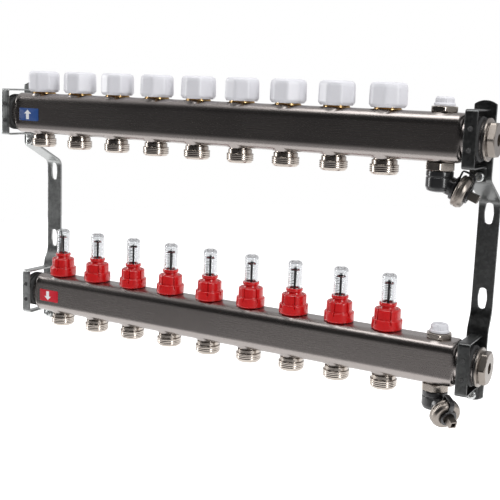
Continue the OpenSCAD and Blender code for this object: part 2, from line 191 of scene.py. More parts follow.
class ManifoldColours(bpy.types.PropertyGroup):
    """Base colours of the finishes."""
    steel: colour("Rail steel", "Brushed stainless steel of the rails", 0.31, 0.283, 0.270)
    nickel: colour("Nickel", "Nickel plate of outlets, plugs and drains", 0.47, 0.42, 0.375)
    brass: colour("Brass", "Turned brass of the valve inserts", 0.80, 0.54, 0.24)
    white: colour("White plastic", "Hand caps and vent knobs", 0.80, 0.80, 0.84)
    red: colour("Red plastic", "Meter knobs and collars", 0.66, 0.008, 0.010)
    clear: colour("Clear plastic", "Sight glasses", 0.80, 0.81, 0.82)
    black: colour("Black plastic", "Drain bodies, straps and indicators", 0.012, 0.012, 0.013)
    rubber: colour("Rubber", "Clamp liners and gaskets", 0.014, 0.014, 0.014)
    zinc: colour("Zinc", "Zinc plate of the wall strips and clamps", 0.40, 0.41, 0.405)
    blue_film: colour("Blue label", "Printed film of the return label", 0.03, 0.09, 0.30)
    red_film: colour("Red label", "Printed film of the supply label", 0.62, 0.012, 0.03)


def sizes():
    """The size settings in millimetres and radians, by name."""
    group = bpy.context.scene.manifold_sizes
    angles = ("drain_tilt", "return_swivel", "supply_swivel")
    return {name: getattr(group, name) / (1 if name in angles else MM)
            for name in ManifoldSizes.__annotations__}


def tint(name):
    return tuple(getattr(bpy.context.scene.manifold_colours, name)) + (1.0,)


# ---- outlines ----

def soften(outline, setback, steps=4, ring=True):
    """Outline with its corners rounded: each corner P becomes the parabola
    (1-u)^2 A + 2u(1-u) P + u^2 B, whose ends A and B lie `setback` from P along its two sides, or
    45 % of a side where that is shorter. An open outline keeps its two ends."""
    corner = np.asarray(outline, float)
    reach = np.broadcast_to(np.asarray(setback, float).reshape(-1, 1), (len(corner), 1))

    def towards(shift):
        side = np.roll(corner, shift, axis=0) - corner
        size = np.linalg.norm(side, axis=1, keepdims=True)
        return (corner + side / np.maximum(size, 1e-9) * np.minimum(reach, 0.45 * size))[:, None]

    u = np.linspace(0, 1, steps)[None, :, None]
    curve = (1 - u) ** 2 * towards(1) + 2 * u * (1 - u) * corner[:, None] + u ** 2 * towards(-1)
    if not ring:
        curve[0] = corner[0]
        curve[-1] = corner[-1]
    return curve.reshape(-1, corner.shape[1])


def refine(outline, step, ring=True):
    """Outline with points put in, so that neighbours lie at most `step` apart."""
    start = np.asarray(outline, float)
    end = np.roll(start, -1, axis=0)
    if not ring:
        start, end, last = start[:-1], end[:-1], start[-1:]
    count = np.maximum(1, np.ceil(np.linalg.norm(end - start, axis=1) / step)).astype(int)
    which = np.repeat(np.arange(len(count)), count)
    first = np.repeat(np.cumsum(count) - count, count)
    t = ((np.arange(count.sum()) - first) / count[which])[:, None]
    dense = start[which] * (1 - t) + end[which] * t
    return dense if ring else np.vstack([dense, last])


def unrepeated(path):
    """Path without points that repeat the one before, so that every point has a direction."""
    apart = np.linalg.norm(np.diff(path, axis=0), axis=1) > 1e-6
    return path[np.append(True, apart)]


def smooth(t):
    """Smooth step from 0 to 1: 3t^2 - 2t^3, flat outside."""
    t = np.clip(t, 0, 1)
    return t * t * (3 - 2 * t)


# ---- surfaces ----

def quads(rows, columns, ring=True, wrap=True):
    """Corner numbers of the quads of a grid; its columns close on themselves with `wrap`, its rows
    with `ring`."""
    row = np.arange(rows if ring else rows - 1)[:, None]
    column = np.arange(columns if wrap else columns - 1)[None, :]
    below, beside = (row + 1) % rows, (column + 1) % columns
    grid = [row * columns + column, row * columns + beside,
            below * columns + beside, below * columns + column]
    return np.stack(grid, -1).reshape(-1, 4)


def around(columns):
    """Angles of a ring's columns, as one row."""
    return np.linspace(0, TURN, columns, endpoint=False)[None, :]


def turn(outline, columns=64, shape=None, ring=True):
    """Outline of (radius, height) carried round Z: x = r cos a, y = r sin a, z = height.
    `shape(radius, height, angle)` may change the radius."""
    outline = np.asarray(outline, float)
    a = around(columns)
    r = outline[:, :1] + 0 * a
    h = outline[:, 1:2] + 0 * a
    if shape is not None:
        r = shape(r, h, a)
    points = np.stack([r * np.cos(a), r * np.sin(a), h], -1)
    return points.reshape(-1, 3), quads(len(outline), columns, ring)


def flats(count, a, crisp):
    """Edge of a polygon of half-width 1 at angle a, with soft corners: the sum over its flats of
    max(cos(a - flat), 0)^crisp, to the power -1/crisp."""
    turned = np.arange(count)[:, None, None] * TURN / count
    return (np.maximum(np.cos(a - turned), 0) ** crisp).sum(0) ** (-1 / crisp)


def nut_shape(count, low, high, bevel, crisp=60):
    """Radius of a nut between two heights: the smaller of its polygon and a cone that takes the
    corners off over `bevel` at both faces. Radii under 60 % of the half-width stay round."""
    def shape(r, h, a):
        half = r.max()
        cone = half * 0.985 + np.minimum(h - low, high - h) / bevel * half * 0.15
        polygon = np.minimum(half * flats(count, a, crisp), cone)
        return np.where(r > 0.985 * half, polygon, r)
    return shape


def thread_shape(pitch, depth, low, high, outward=True):
    """Radius with a helical groove between two heights: depth times a rounded triangle wave of
    height / pitch - angle / turn, faded over one pitch at both ends."""
    def shape(r, h, a):
        wave = np.abs(2 * ((h / pitch - a / TURN) % 1) - 1)
        fade = smooth((h - low) / pitch) * smooth((high - h) / pitch)
        cut = depth * smooth(wave) * fade
        return r - cut if outward else r + cut
    return shape


def place(part, origin=(0, 0, 0), turned=0.0, axis=None):
    """Part turned about Z, laid with its Z along `axis` (and its X level or up), and moved."""
    points, faces = part
    c, s = math.cos(turned), math.sin(turned)
    points = points @ np.array([[c, -s, 0], [s, c, 0], [0, 0, 1]]).T
    if axis is not None:
        z = np.asarray(axis, float) / np.linalg.norm(axis)
        up = np.array([0, 0, 1.0])
        x = up - z * (up @ z)
        x = x / np.linalg.norm(x)
        points = points @ np.array([x, np.cross(z, x), z])
    return points + np.asarray(origin, float), faces


def repeat(part, origins, turns=None):
    turns = turns or [0.0] * len(origins)
    return [place(part, origin, turned) for origin, turned in zip(origins, turns)]


def ribbon(path, width, thickness, corner=0.35, steps=3):
    """A flat band: a rounded rectangle carried along a (y, z) path, X being its width. Each ring
    stands on the path's normal, which is its tangent turned a quarter; the ends close on a point.
    `width` may differ along the path."""
    path = np.asarray(path, float)
    tangent = np.gradient(path, axis=0)
    tangent /= np.linalg.norm(tangent, axis=1, keepdims=True)
    normal = np.stack([-tangent[:, 1], tangent[:, 0]], 1)
    half_w = np.broadcast_to(np.asarray(width, float) / 2, (len(path),))
    box = soften([[1, 1], [-1, 1], [-1, -1], [1, -1]], 2 * corner / thickness, steps)
    across = box[None, :, 0] * half_w[:, None]
    lift = box[None, :, 1] * thickness / 2
    rings = np.stack([across, path[:, None, 0] + lift * normal[:, None, 0],
                      path[:, None, 1] + lift * normal[:, None, 1]], -1)
    ends = [np.repeat(rings[k].mean(0)[None], len(box), 0)[None] for k in (0, -1)]
    points = np.concatenate([ends[0], rings, ends[1]])
    return points.reshape(-1, 3), quads(len(points), len(box), ring=False)


def bend(corners_yz, radius, steps=9):
    """Path of (y, z) with each inner corner as an arc-like parabola and its ends kept."""
    return unrepeated(refine(soften(corners_yz, radius, steps, ring=False), 3.0, ring=False))


# ---- meshes ----

def make_piece(name, parts, finish, body, replaced=(), crease=32):
    """Joins (points, quads) parts into one mesh. Doubles are merged, which closes poles, faces are
    turned outwards, and edges sharper than `crease` degrees stay crisp."""
    counts = np.cumsum([0] + [len(points) for points, _ in parts])
    points = np.vstack([points for points, _ in parts]) * MM
    faces = [face for (_, grid), start in zip(parts, counts) for face in (grid + start).tolist()]
    mesh = bpy.data.meshes.new(name)
    mesh.from_pydata(points.tolist(), [], faces)
    shell = bmesh.new()
    shell.from_mesh(mesh)
    bmesh.ops.remove_doubles(shell, verts=shell.verts, dist=2e-6)
    bmesh.ops.recalc_face_normals(shell, faces=shell.faces)
    shell.to_mesh(mesh)
    shell.free()
    piece = bpy.data.objects.new(name, mesh)
    bpy.context.scene.collection.objects.link(piece)
    mesh.materials.append(finish)
    crisp_edges(piece, crease)
    settle(piece, body, replaced)
    return piece


def crisp_edges(piece, crease):
    with bpy.context.temp_override(object=piece, active_object=piece, selected_objects=[piece],
                                   selected_editable_objects=[piece]):
        bpy.ops.object.shade_smooth_by_angle(angle=math.radians(crease))


def settle(piece, body, replaced):
    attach(piece, body)
    if replaced:
        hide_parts(*replaced)


def cut(piece, parts):
    """Takes closed parts out of a piece with a Boolean, applied to its mesh."""
    cutter = make_piece("cutter", parts, None, "frame")
    tool = piece.modifiers.new("cut", "BOOLEAN")
    tool.object = cutter
    tool.operation = "DIFFERENCE"
    tool.solver = "EXACT"
    bpy.context.view_layer.update()
    evaluated = piece.evaluated_get(bpy.context.evaluated_depsgraph_get())
    mesh = bpy.data.meshes.new_from_object(evaluated)
    piece.modifiers.clear()
    piece.data = mesh
    bpy.data.objects.remove(cutter)


def slab(size_x, size_y, size_z, centre_at):
    """A plain block as a four-sided ring carried up, closed at both ends."""
    corner = np.array([[1, 1], [-1, 1], [-1, -1], [1, -1]]) * [size_x / 2, size_y / 2]
    level = np.array([-1, -1, 1, 1])[:, None] * size_z / 2 + np.zeros((1, 4))
    scale = np.array([0, 1, 1, 0])[:, None, None]
    flat = corner[None] * scale
    points = np.concatenate([flat, level[:, :, None]], -1) + np.asarray(centre_at, float)
    return points.reshape(-1, 3), quads(4, 4, ring=False)


# ---- finishes ----

def wire(tree, value, target):
    """Gives a socket its value, or its link where the value comes from a node."""
    if isinstance(value, Value):
        tree.links.new(value.socket, target)
    elif isinstance(value, bpy.types.NodeSocket):
        tree.links.new(value, target)
    else:
        target.default_value = value


class Value:
    """A socket in a Python expression: each operator adds one Math node."""

    def __init__(self, tree, socket):
        self.tree = tree
        self.socket = socket

    def math(self, operation, first, second=0.0, clamp=False):
        node = self.tree.nodes.new("ShaderNodeMath")
        node.operation = operation
        node.use_clamp = clamp
        wire(self.tree, first, node.inputs[0])
        wire(self.tree, second, node.inputs[1])
        return Value(self.tree, node.outputs[0])

    def __add__(self, other):
        return self.math("ADD", self, other)

    __radd__ = __add__

    def __sub__(self, other):
        return self.math("SUBTRACT", self, other)

    def __rsub__(self, other):
        return self.math("SUBTRACT", other, self)

    def __mul__(self, other):
        return self.math("MULTIPLY", self, other)

    __rmul__ = __mul__

    def __truediv__(self, other):
        return self.math("DIVIDE", self, other)

    def __rtruediv__(self, other):
        return self.math("DIVIDE", other, self)

    def __lt__(self, other):
        return self.math("LESS_THAN", self, other)

    def __gt__(self, other):
        return self.math("GREATER_THAN", self, other)

    def __abs__(self):
        return self.math("ABSOLUTE", self)

    def either(self, other):
        return self.math("MAXIMUM", self, other)

    def clamped(self):
        return self.math("ADD", self, 0.0, clamp=True)


class Finish:
    """A material under construction, whose patterns read the piece's own coordinates."""

    def __init__(self, name, tree=None):
        if tree is None:
            self.material = bpy.data.materials.new(name)
            self.material.use_nodes = True
            tree = self.material.node_tree
        self.tree = tree
        self.shader = tree.nodes.get("Principled BSDF")

    def node(self, kind, settings=None, inputs=None):
        made = self.tree.nodes.new(kind)
        for name, value in (settings or {}).items():
            setattr(made, name, value)
        for name, value in (inputs or {}).items():
            wire(self.tree, value, made.inputs[name])
        return made

    def value(self, node, output):
        return Value(self.tree, node.outputs[output])

    def place(self, scale=(1, 1, 1)):
        """The piece's coordinates in metres, each axis times its scale."""
        where = self.node("ShaderNodeTexCoord")
        stretched = self.node("ShaderNodeMapping", {"vector_type": "POINT"},
                              {"Vector": where.outputs["Object"], "Scale": scale})
        return stretched.outputs["Vector"]

    def axes(self):
        """X, Y and Z of the piece's coordinates, in millimetres."""
        split = self.node("ShaderNodeSeparateXYZ", inputs={"Vector": self.place([1 / MM] * 3)})
        return [self.value(split, name) for name in "XYZ"]

    def noise(self, scale, detail=2.0):
        """Noise from 0 to 1; `scale` counts its lumps per metre along each axis."""
        made = self.node("ShaderNodeTexNoise", {"noise_dimensions": "3D"},
                         {"Vector": self.place(scale), "Scale": 1.0, "Detail": detail})
        return self.value(made, "Fac")

    def cells(self, per_metre):
        """A random value for each crystal of a spangled plate."""
        made = self.node("ShaderNodeTexVoronoi", {"feature": "F1"},
                         {"Vector": self.place([per_metre] * 3), "Scale": 1.0})
        split = self.node("ShaderNodeSeparateColor", inputs={"Color": made.outputs["Color"]})
        return self.value(split, "Red")

    def mix(self, factor, first, second):
        made = self.node("ShaderNodeMix", {"data_type": "RGBA"})
        for number, given in ((0, factor), (6, first), (7, second)):
            wire(self.tree, given, made.inputs[number])
        return made.outputs[2]

    def bump(self, height, strength, millimetres):
        made = self.node("ShaderNodeBump", inputs={
            "Height": height, "Strength": strength, "Distance": millimetres * MM})
        wire(self.tree, made.outputs["Normal"], self.shader.inputs["Normal"])

    def shade(self, **given):
        """Sets the shader's sockets, by name with _ for a space."""
        for name, value in given.items():
            wire(self.tree, value, self.shader.inputs[name.replace("_", " ")])
        return self.material


def darker(shade_of, factor):
    return tuple(factor * part for part in shade_of[:3]) + (1.0,)


@functools.cache
def brushed_steel():
    """Stainless steel with a fine grain along the rail and faint handling stains."""
    steel = Finish("brushed_steel")
    grain = steel.noise((14, 1700, 1700), 3)
    stain = steel.noise((16, 30, 30), 3)
    base = steel.mix(stain * 1.2 - 0.1, darker(tint("steel"), 0.96), darker(tint("steel"), 1.06))
    steel.bump(grain, 0.016, 0.01)
    return steel.shade(Base_Color=base, Metallic=1.0, Roughness=0.23 + 0.04 * grain + 0.04 * stain)


def nickel_plate(name, lumps, dark, pale, rough, spread):
    """Nickel plate with a slight haze of so many lumps per metre, between two shades."""
    plate = Finish(name)
    haze = plate.noise((lumps, lumps, lumps), 3)
    base = plate.mix(haze, darker(tint("nickel"), dark), darker(tint("nickel"), pale))
    plate.bump(plate.noise((1500, 1500, 1500)), 0.12, 0.01)
    return plate.shade(Base_Color=base, Metallic=1.0, Roughness=rough + spread * haze)


@functools.cache
def nickel():
    """Polished plate of the outlets, nuts and vents."""
    return nickel_plate("nickel", 220, 0.9, 1.0, 0.17, 0.09)


@functools.cache
def satin_nickel():
    """Darker satin plate of the end plugs and the drain caps."""
    return nickel_plate("satin_nickel", 160, 0.50, 0.62, 0.27, 0.10)


@functools.cache
def turned_brass():
    """Brass with fine rings left by the lathe."""
    brass = Finish("turned_brass")
    rings = brass.noise((60, 60, 3500), 2)
    base = brass.mix(rings, darker(tint("brass"), 0.8), tint("brass"))
    brass.bump(rings, 0.2, 0.02)
    return brass.shade(Base_Color=base, Metallic=1.0, Roughness=0.14 + 0.14 * rings)


@functools.cache
def ground_steel():
    """Bare steel of the valve pins, with the rings of its grinding."""
    steel = Finish("ground_steel")
    rings = steel.noise((80, 80, 4000), 2)
    base = steel.mix(rings, (0.5, 0.5, 0.5, 1), (0.66, 0.66, 0.67, 1))
    return steel.shade(Base_Color=base, Metallic=1.0, Roughness=0.18 + 0.12 * rings)


@functools.cache
def white_plastic():
    """Satin white plastic with a fine moulded texture."""
    plastic = Finish("white_plastic")
    cloud = plastic.noise((60, 60, 60), 2)
    base = plastic.mix(cloud, darker(tint("white"), 0.96), tint("white"))
    plastic.bump(plastic.noise((2600, 2600, 2600)), 0.10, 0.02)
    return plastic.shade(Base_Color=base, Roughness=0.33 + 0.10 * cloud, Coat_Weight=0.15,
                         Coat_Roughness=0.2)


@functools.cache
def red_plastic():
    """Glossy red plastic with faint rings along its height."""
    plastic = Finish("red_plastic")
    cloud = plastic.noise((90, 90, 90), 2)
    rings = plastic.noise((25, 25, 1400), 2)
    base = plastic.mix(cloud, darker(tint("red"), 0.82), tint("red"))
    plastic.bump(rings, 0.05, 0.03)
    return plastic.shade(Base_Color=base, Roughness=0.20 + 0.08 * rings, Coat_Weight=0.35,
                         Coat_Roughness=0.12, Subsurface_Weight=0.05)


@functools.cache
def clear_plastic():
    """Clear polycarbonate with faint moulding waves."""
    glass = Finish("clear_plastic")
    glass.bump(glass.noise((70, 70, 420)), 0.25, 0.08)
    return glass.shade(Base_Color=tint("clear"), Roughness=0.06, IOR=1.52,
                       Transmission_Weight=1.0)


@functools.cache
def float_plastic():
    """Dark red disc between a black rod and its hub, split by height."""
    plastic = Finish("float_plastic")
    high = corners("flow_float_1")[1]
    height = plastic.axes()[2]
    is_disc = (height > high[2] - 3.5) * (height < high[2] - 1.9)
    base = plastic.mix(is_disc, tint("black"), (0.22, 0.012, 0.02, 1))
    grain = plastic.noise((900, 900, 900))
    return plastic.shade(Base_Color=base, Roughness=0.35 + 0.15 * grain)


@functools.cache
def black_plastic():
    """Glossy black glass-filled plastic."""
    plastic = Finish("black_plastic")
    grain = plastic.noise((1300, 1300, 1300), 3)
    cloud = plastic.noise((70, 70, 70))
    base = plastic.mix(cloud, tint("black"), (0.03, 0.03, 0.032, 1))
    plastic.bump(grain, 0.14, 0.03)
    return plastic.shade(Base_Color=base, Roughness=0.16 + 0.12 * cloud, Coat_Weight=0.2,
                         Coat_Roughness=0.15)


@functools.cache
def rubber():
    """Matt moulded rubber."""
    mat = Finish("rubber")
    grain = mat.noise((1100, 1100, 1100), 4)
    base = mat.mix(grain, tint("rubber"), (0.035, 0.035, 0.035, 1))
    mat.bump(grain, 0.3, 0.05)
    return mat.shade(Base_Color=base, Roughness=0.55 + 0.25 * grain)


# Brightness of each copy of the zinc. The right-hand strip and clamps get darker copies and the
# left clamps a lighter one: painted shade and painted light for how the lamps fall on the two
# ends.
ZINC_TONE_AND_PAINTED_LIGHT = {"bracket_zinc": 0.95, "bracket_zinc_dark": 0.42, "clamp_zinc": 1.25,
                   "clamp_zinc_dark": 0.32, "screw_zinc": 1.5}


@functools.cache
def zinc(name):
    """Zinc plate: small dull crystals over a rolled grain. Each copy is scaled by its brightness,
    which is painted shade on the right-hand strip and clamps and painted light on the left clamps.
    """
    plate = Finish(name)
    spangle = plate.cells(420)
    haze = plate.noise((45, 45, 45), 3)
    tone = 0.55 * spangle + 0.45 * haze
    # Painted light and shade: this factor makes lit and shaded copies of one zinc.
    bright = ZINC_TONE_AND_PAINTED_LIGHT[name]
    dark, pale = (darker(tint("zinc"), share * bright) for share in (0.72, 1.12))
    plate.bump(plate.noise((900, 900, 260), 3), 0.2, 0.02)
    base = plate.mix(tone, dark, pale)
    return plate.shade(Base_Color=base, Metallic=1.0, Roughness=0.26 + 0.16 * tone)


@functools.cache
def scale_ink():
    """Black printing ink of the glasses' scales."""
    ink = Finish("scale_ink")
    grain = ink.noise((2000, 2000, 2000))
    return ink.shade(Base_Color=(0.01, 0.01, 0.01, 1), Roughness=0.4 + 0.2 * grain)


@functools.cache
def label_film(side):
    """Printed film with a white arrow: a shaft and a triangular head, both worked out from the
    distance to the arrow's centre line. The return's arrow points up and the supply's down."""
    film = Finish(f"{side}_label_film")
    low, high = corners(f"{side}_label")
    x, _, z = film.axes()
    across = abs(x - (low[0] + 0.44 * (high[0] - low[0])))
    way = 1 if side == "return" else -1
    along = (z - (low[2] + high[2]) / 2) * way
    half, head, shaft = 5.2, 0.8, 2.1
    in_head = (along > head) * (across < (half - along) * 1.15)
    in_shaft = (across < shaft) * (along < head + 0.4) * (along > -half)
    arrow = in_head.either(in_shaft)
    ground = tint("blue_film" if side == "return" else "red_film")
    fade = film.noise((120, 120, 120), 3)
    base = film.mix(arrow, film.mix(fade, darker(ground, 0.85), ground), (0.85, 0.86, 0.88, 1))
    return film.shade(Base_Color=base, Roughness=0.30 + 0.15 * fade)


# ---- rails ----

def section_radius(a, half_y, half_z, corner):
    """Distance from the centre to a rounded rectangle at angle a: the nearer straight side, or
    the corner circle where that side would leave the straight part."""
    c, s = np.abs(np.cos(a)), np.abs(np.sin(a))
    side = np.minimum(half_y / np.maximum(c, 1e-9), half_z / np.maximum(s, 1e-9))
    y0, z0 = half_y - corner, half_z - corner
    along = c * y0 + s * z0
    arc = along + np.sqrt(np.maximum(along ** 2 - y0 ** 2 - z0 ** 2 + corner ** 2, 0))
    return np.where((side * c > y0) & (side * s > z0), arc, side)


def rail_shell(side, size, columns=128):
    """A rail with its necks as one closed wall. Every ring lies between the neck's circle and the
    section's rounded rectangle; its share k of the latter is the sine of a quarter turn over the
    end rounding. The rings run along the outside, round the rim and back along the inside."""
    middle, half = rail(side)
    low_x, end_x = middle[0] - half[0], middle[0] - half[0] + size["neck"]
    reach = middle[0] - low_x
    quarter = np.linspace(0, math.pi / 2, 12)
    thread_rows = np.arange(0.6, size["neck"] + 1, 0.38)
    body = np.linspace(end_x + size["end_round"], middle[0], 12)[1:]

    def half_run(first, neck_r, step_in):
        """Stations (x, k, neck radius, wall inset) from a neck's mouth to the rail's middle."""
        shoulder_x = end_x + step_in + (size["end_round"] - step_in) * (1 - np.cos(quarter))
        shoulder = np.stack([shoulder_x, np.sin(quarter)], 1)
        straight = np.stack([body, np.ones(len(body))], 1)
        run = np.vstack([first, shoulder, straight])
        extra = np.stack([np.full(len(run), neck_r), np.full(len(run), step_in)], 1)
        return np.hstack([run, extra])

    mouth = np.array([[low_x + 0.05, 0], [low_x + 0.5, 0], [end_x - 0.6, 0]])
    threads = np.stack([low_x + thread_rows, 0 * thread_rows], 1)
    outer = half_run(mouth, half[1] - 0.2, 0.0)
    outer[0, 2] -= 0.5
    inner = half_run(np.vstack([[[low_x + 0.05, 0]], threads]), size["inlet_thread"],
                     size["rail_wall"])
    inner[0, 2] += 1.1

    def mirrored(run):
        back = run[::-1].copy()
        back[:, 0] = 2 * (low_x + reach) - back[:, 0]
        return back[1:]

    loop = np.vstack([outer, mirrored(outer), mirrored(inner)[::-1], inner[::-1]])
    a = around(columns)
    x, k, neck_r, inset = (loop[:, i:i + 1] for i in range(4))
    grooved = thread_shape(INLET_PITCH, -0.9, 0.6, size["neck"] + 1)
    from_mouth = np.minimum(x - low_x, 2 * (low_x + reach) - x - low_x)
    circle = np.where(inset > 0, grooved(neck_r, from_mouth, a), neck_r)
    flat = section_radius(a, half[1] - inset, half[2] - inset, size["rail_corner"] - inset)
    r = circle * (1 - k) + flat * k
    points = np.stack([x + 0 * a, middle[1] + r * np.cos(a), middle[2] + r * np.sin(a)], -1)
    return points.reshape(-1, 3), quads(len(loop), columns)


def port_ring(side, x, up, inner, outer, rise, size, columns=72):
    """Pulled edge of a port: a closed ring that falls from a level rim of radius `inner` to the
    rail's curved top at radius `outer`, its height above the rail being rise (1 - t)^2."""
    middle, half = rail(side)
    t = np.linspace(0, 1, 7)
    radius = np.concatenate([[inner, inner], inner + (outer - inner) * t, [outer]])[:, None]
    lift = np.concatenate([[-1.2, 0], (1 - t) ** 2, [-1.2]])[:, None]
    a = around(columns)
    y = radius * np.sin(a)
    over = np.maximum(np.abs(y) - (half[1] - size["rail_corner"]), 0)
    skin = half[2] - size["rail_corner"] + np.sqrt(size["rail_corner"] ** 2 - over ** 2)
    rim = half[2] + rise
    z = np.where(lift >= 0, skin + (rim - skin) * lift, skin + lift * 0.5)
    z = np.where((radius == inner) & (lift >= 0), rim, z)
    points = np.stack([x + radius * np.cos(a), middle[1] + y, middle[2] + up * z], -1)
    return points.reshape(-1, 3), quads(len(radius), columns)


class MANIFOLD_OT_rails(bpy.types.Operator):
    """Brushed steel rails with closed ends, threaded necks and pulled ports"""
    bl_idname = "manifold.rails"
    bl_label = "Rails"

    def execute(self, context):
        size = sizes()
        for side in SIDES:
            ports = [(x, 1, side) for x in loop_x()] + [(x, -1, "outlet") for x in loop_x()]
            ports += [(service_x(), up, "service") for up in (1, -1)]
            parts = [rail_shell(side, size)]
            parts += [port_ring(side, x, up, *PORT_RIMS[kind], size) for x, up, kind in ports]
            make_piece(f"{side}_bar", parts, brushed_steel(), "frame",
                       [f"{side}_rail"])
        return {"FINISHED"}


# ---- outlets, valves and caps ----

def outlet_part(size):
    """Outlet drawn down from the rail's underside at height 0: dark throat, plain neck, threaded
    band with a long chamfer, and a cone seat in its mouth."""
    reach, r, neck = size["outlet_reach"], size["outlet_radius"], size["outlet_neck"]
    bore, band_top, thread_depth = size["outlet_bore"], -6.0, 0.27
    outline = [[9.5, 2.9], [9.5, -0.2], [10.4, -0.3], [10.4, -1.5], [neck, -1.9],
               [neck, band_top + 0.5], [r, band_top], [r, -reach + 2.3], [r - 1.8, -reach],
               [bore + 2.5, -reach], [bore, -reach + 4.0], [bore, 2.9]]
    rows = refine(soften(outline, 0.3, 3), 0.36)
    grooves = thread_shape(size["thread_pitch"], thread_depth, -reach + 0.2, band_top)

    def shape(radius, height, a):
        on_band = radius > neck + 0.05
        return np.where(on_band, np.maximum(grooves(radius, height, a), bore + 2.6), radius)
    return turn(rows, 64, shape)


class MANIFOLD_OT_outlets(bpy.types.Operator):
    """Nickel plated outlets with a helical thread"""
    bl_idname = "manifold.outlets"
    bl_label = "Outlets"

    def execute(self, context):
        part = outlet_part(sizes())
        for side in SIDES:
            origins = in_line(side, loop_x(), rail_bottom(side))
            turns = [0.7 * i for i in range(LOOPS)]
            replaced = ["outlet_nipples"] if side == "return" else []
            make_piece(f"{side}_outlets", repeat(part, origins, turns), nickel(), "frame",
                       replaced, crease=55)
        return {"FINISHED"}


class MANIFOLD_OT_valve_inserts(bpy.types.Operator):
    """Turned brass inserts under the hand caps, and the valve pins' finish"""
    bl_idname = "manifold.valve_inserts"
    bl_label = "Valve inserts"

    def execute(self, context):
        waist = sizes()["collar_waist"]
        low, high = corners("valve_inserts")
        top = rail_top("return")
        down, up = low[2] - top, high[2] - top
        collar = (high[1] - low[1]) / 2
        pin_r, well_r = 2.1, 5.5
        outline = [[pin_r, down], [SEAT_R, down], [SEAT_R, -0.3], [waist, -0.3], [waist, 0.7],
                   [waist - 0.5, 1.0], [waist - 0.5, 4.2], [collar, 4.6], [collar, up],
                   [well_r, up], [well_r, up - 1.5], [pin_r, up - 1.5]]
        rows = refine(soften(outline, 0.25, 3), 0.5)
        part = turn(rows, 72, thread_shape(1.5, 0.7, 4.6, up + 1))
        make_piece("brass_inserts", repeat(part, in_line("return", loop_x(), top)),
                   turned_brass(), "frame", ["valve_inserts"])
        for i in range(1, LOOPS + 1):
            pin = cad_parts[f"valve_pin_{i}"].data
            pin.materials.clear()
            pin.materials.append(ground_steel())
        return {"FINISHED"}


def cap_part(half, tall, bore, roof):
    """Hollow octagonal cap with a round foot and a rounded, slightly dished top. Rows carry the
    share of the octagon in their third column: 1 on the flats, 0 on the foot, bore and top."""
    outline = np.array([
        [bore, 0.5, 0], [bore + 0.4, 0, 0], [half - 1.4, 0, 0], [half - 0.2, 2.2, 0.9],
        [half, 3.2, 1], [half - 0.25, tall - 4.5, 1], [half - 0.9, tall - 1.7, 0.9],
        [half - 3.2, tall - 0.1, 0.5], [half - 5.0, tall, 0.1], [half - 6.2, tall - 0.35, 0],
        [2.0, tall - 0.5, 0], [0, tall - 0.5, 0]])
    inside = np.array([[0, tall - roof, 0], [bore, tall - roof, 0]])
    rows = refine(soften(np.vstack([outline, inside]), 0.9, 5), 1.2)
    rows[rows[:, 0] < 0.02, 0] = 0
    a = around(96)
    share = rows[:, 2:3]
    r = rows[:, :1] * (1 + share * (flats(8, a, 30) - 1))
    points = np.stack([r * np.cos(a), r * np.sin(a), rows[:, 1:2] + 0 * a], -1)
    return points.reshape(-1, 3), quads(len(rows), 96)


class MANIFOLD_OT_hand_caps(bpy.types.Operator):
    """White octagonal hand caps, each turned its own way"""
    bl_idname = "manifold.hand_caps"
    bl_label = "Hand caps"

    def execute(self, context):
        for i in range(1, LOOPS + 1):
            low, high = corners(f"return_cap_{i}")
            part = cap_part(half=16.5, tall=high[2] - low[2], bore=14.2, roof=3.0)
            turned = math.radians(16 * i + 22.5)
            make_piece(f"hand_cap_{i}", [place(part, foot(f"return_cap_{i}"), turned)],
                       white_plastic(), f"return_hand_cap_{i}",
                       [f"return_cap_{i}"], crease=50)
        return {"FINISHED"}


# ---- flow meters ----

def knob_part(tier, tall, foot, upper, bore):
    """Two-tier knob, whose radius steps in above the lower tier. Six slits run down from the top
    to a height of 5.6 mm: the radius falls by their depth close to each slit's middle."""
    slits, depth = 6, 1.7
    outline = [[bore, 0.4], [foot - 0.9, 0], [foot, 1.0], [foot - 0.15, tier - 0.5],
               [foot - 0.7, tier], [upper + 0.25, tier + 0.15], [upper, tall - 1.1],
               [upper - 1.0, tall], [bore + 1.2, tall], [bore, tall - 0.8]]
    rows = refine(soften(outline, 0.35, 4), 0.7)

    def shape(r, h, a):
        panel = np.abs(((a * slits / TURN + 0.5) % 1) - 0.5) * 2
        arc_from_slit = panel * TURN / (2 * slits) * upper
        slit = smooth((0.62 - arc_from_slit) / 0.25) * smooth((h - 5.6) / 0.8)
        return np.where(r > bore + 1.3, r - depth * slit, r)
    return turn(rows, 288, shape)


def scale_marks(low_z, r, facing):
    """Printed scale on a glass: short bars and the figures 1 to 5, each bent round the glass: a
    point x, z of the flat print goes to the angle x / r at height z."""
    step, top_level = 3.3, 5
    left, ink, tall = -4.6, 0.10, 0.62
    parts = []
    for half_steps in range(2 * top_level + 1):
        half_width = 1.3 if half_steps % 2 else 2.0
        middle = (left + half_width, 0, half_steps / 2 * step)
        parts.append(slab(2 * half_width, ink, tall, middle))
    for level in range(1, top_level + 1):
        parts.append(figure(str(level), 2.9, (0.5, level * step)))
    wrapped = []
    for points, faces in parts:
        angle_at = facing + points[:, 0] / r
        radius = r + 0.03 + points[:, 1] * 0.5
        bent = np.stack([radius * np.cos(angle_at), radius * np.sin(angle_at),
                         low_z + points[:, 2]], 1)
        wrapped.append((bent, faces))
    return wrapped


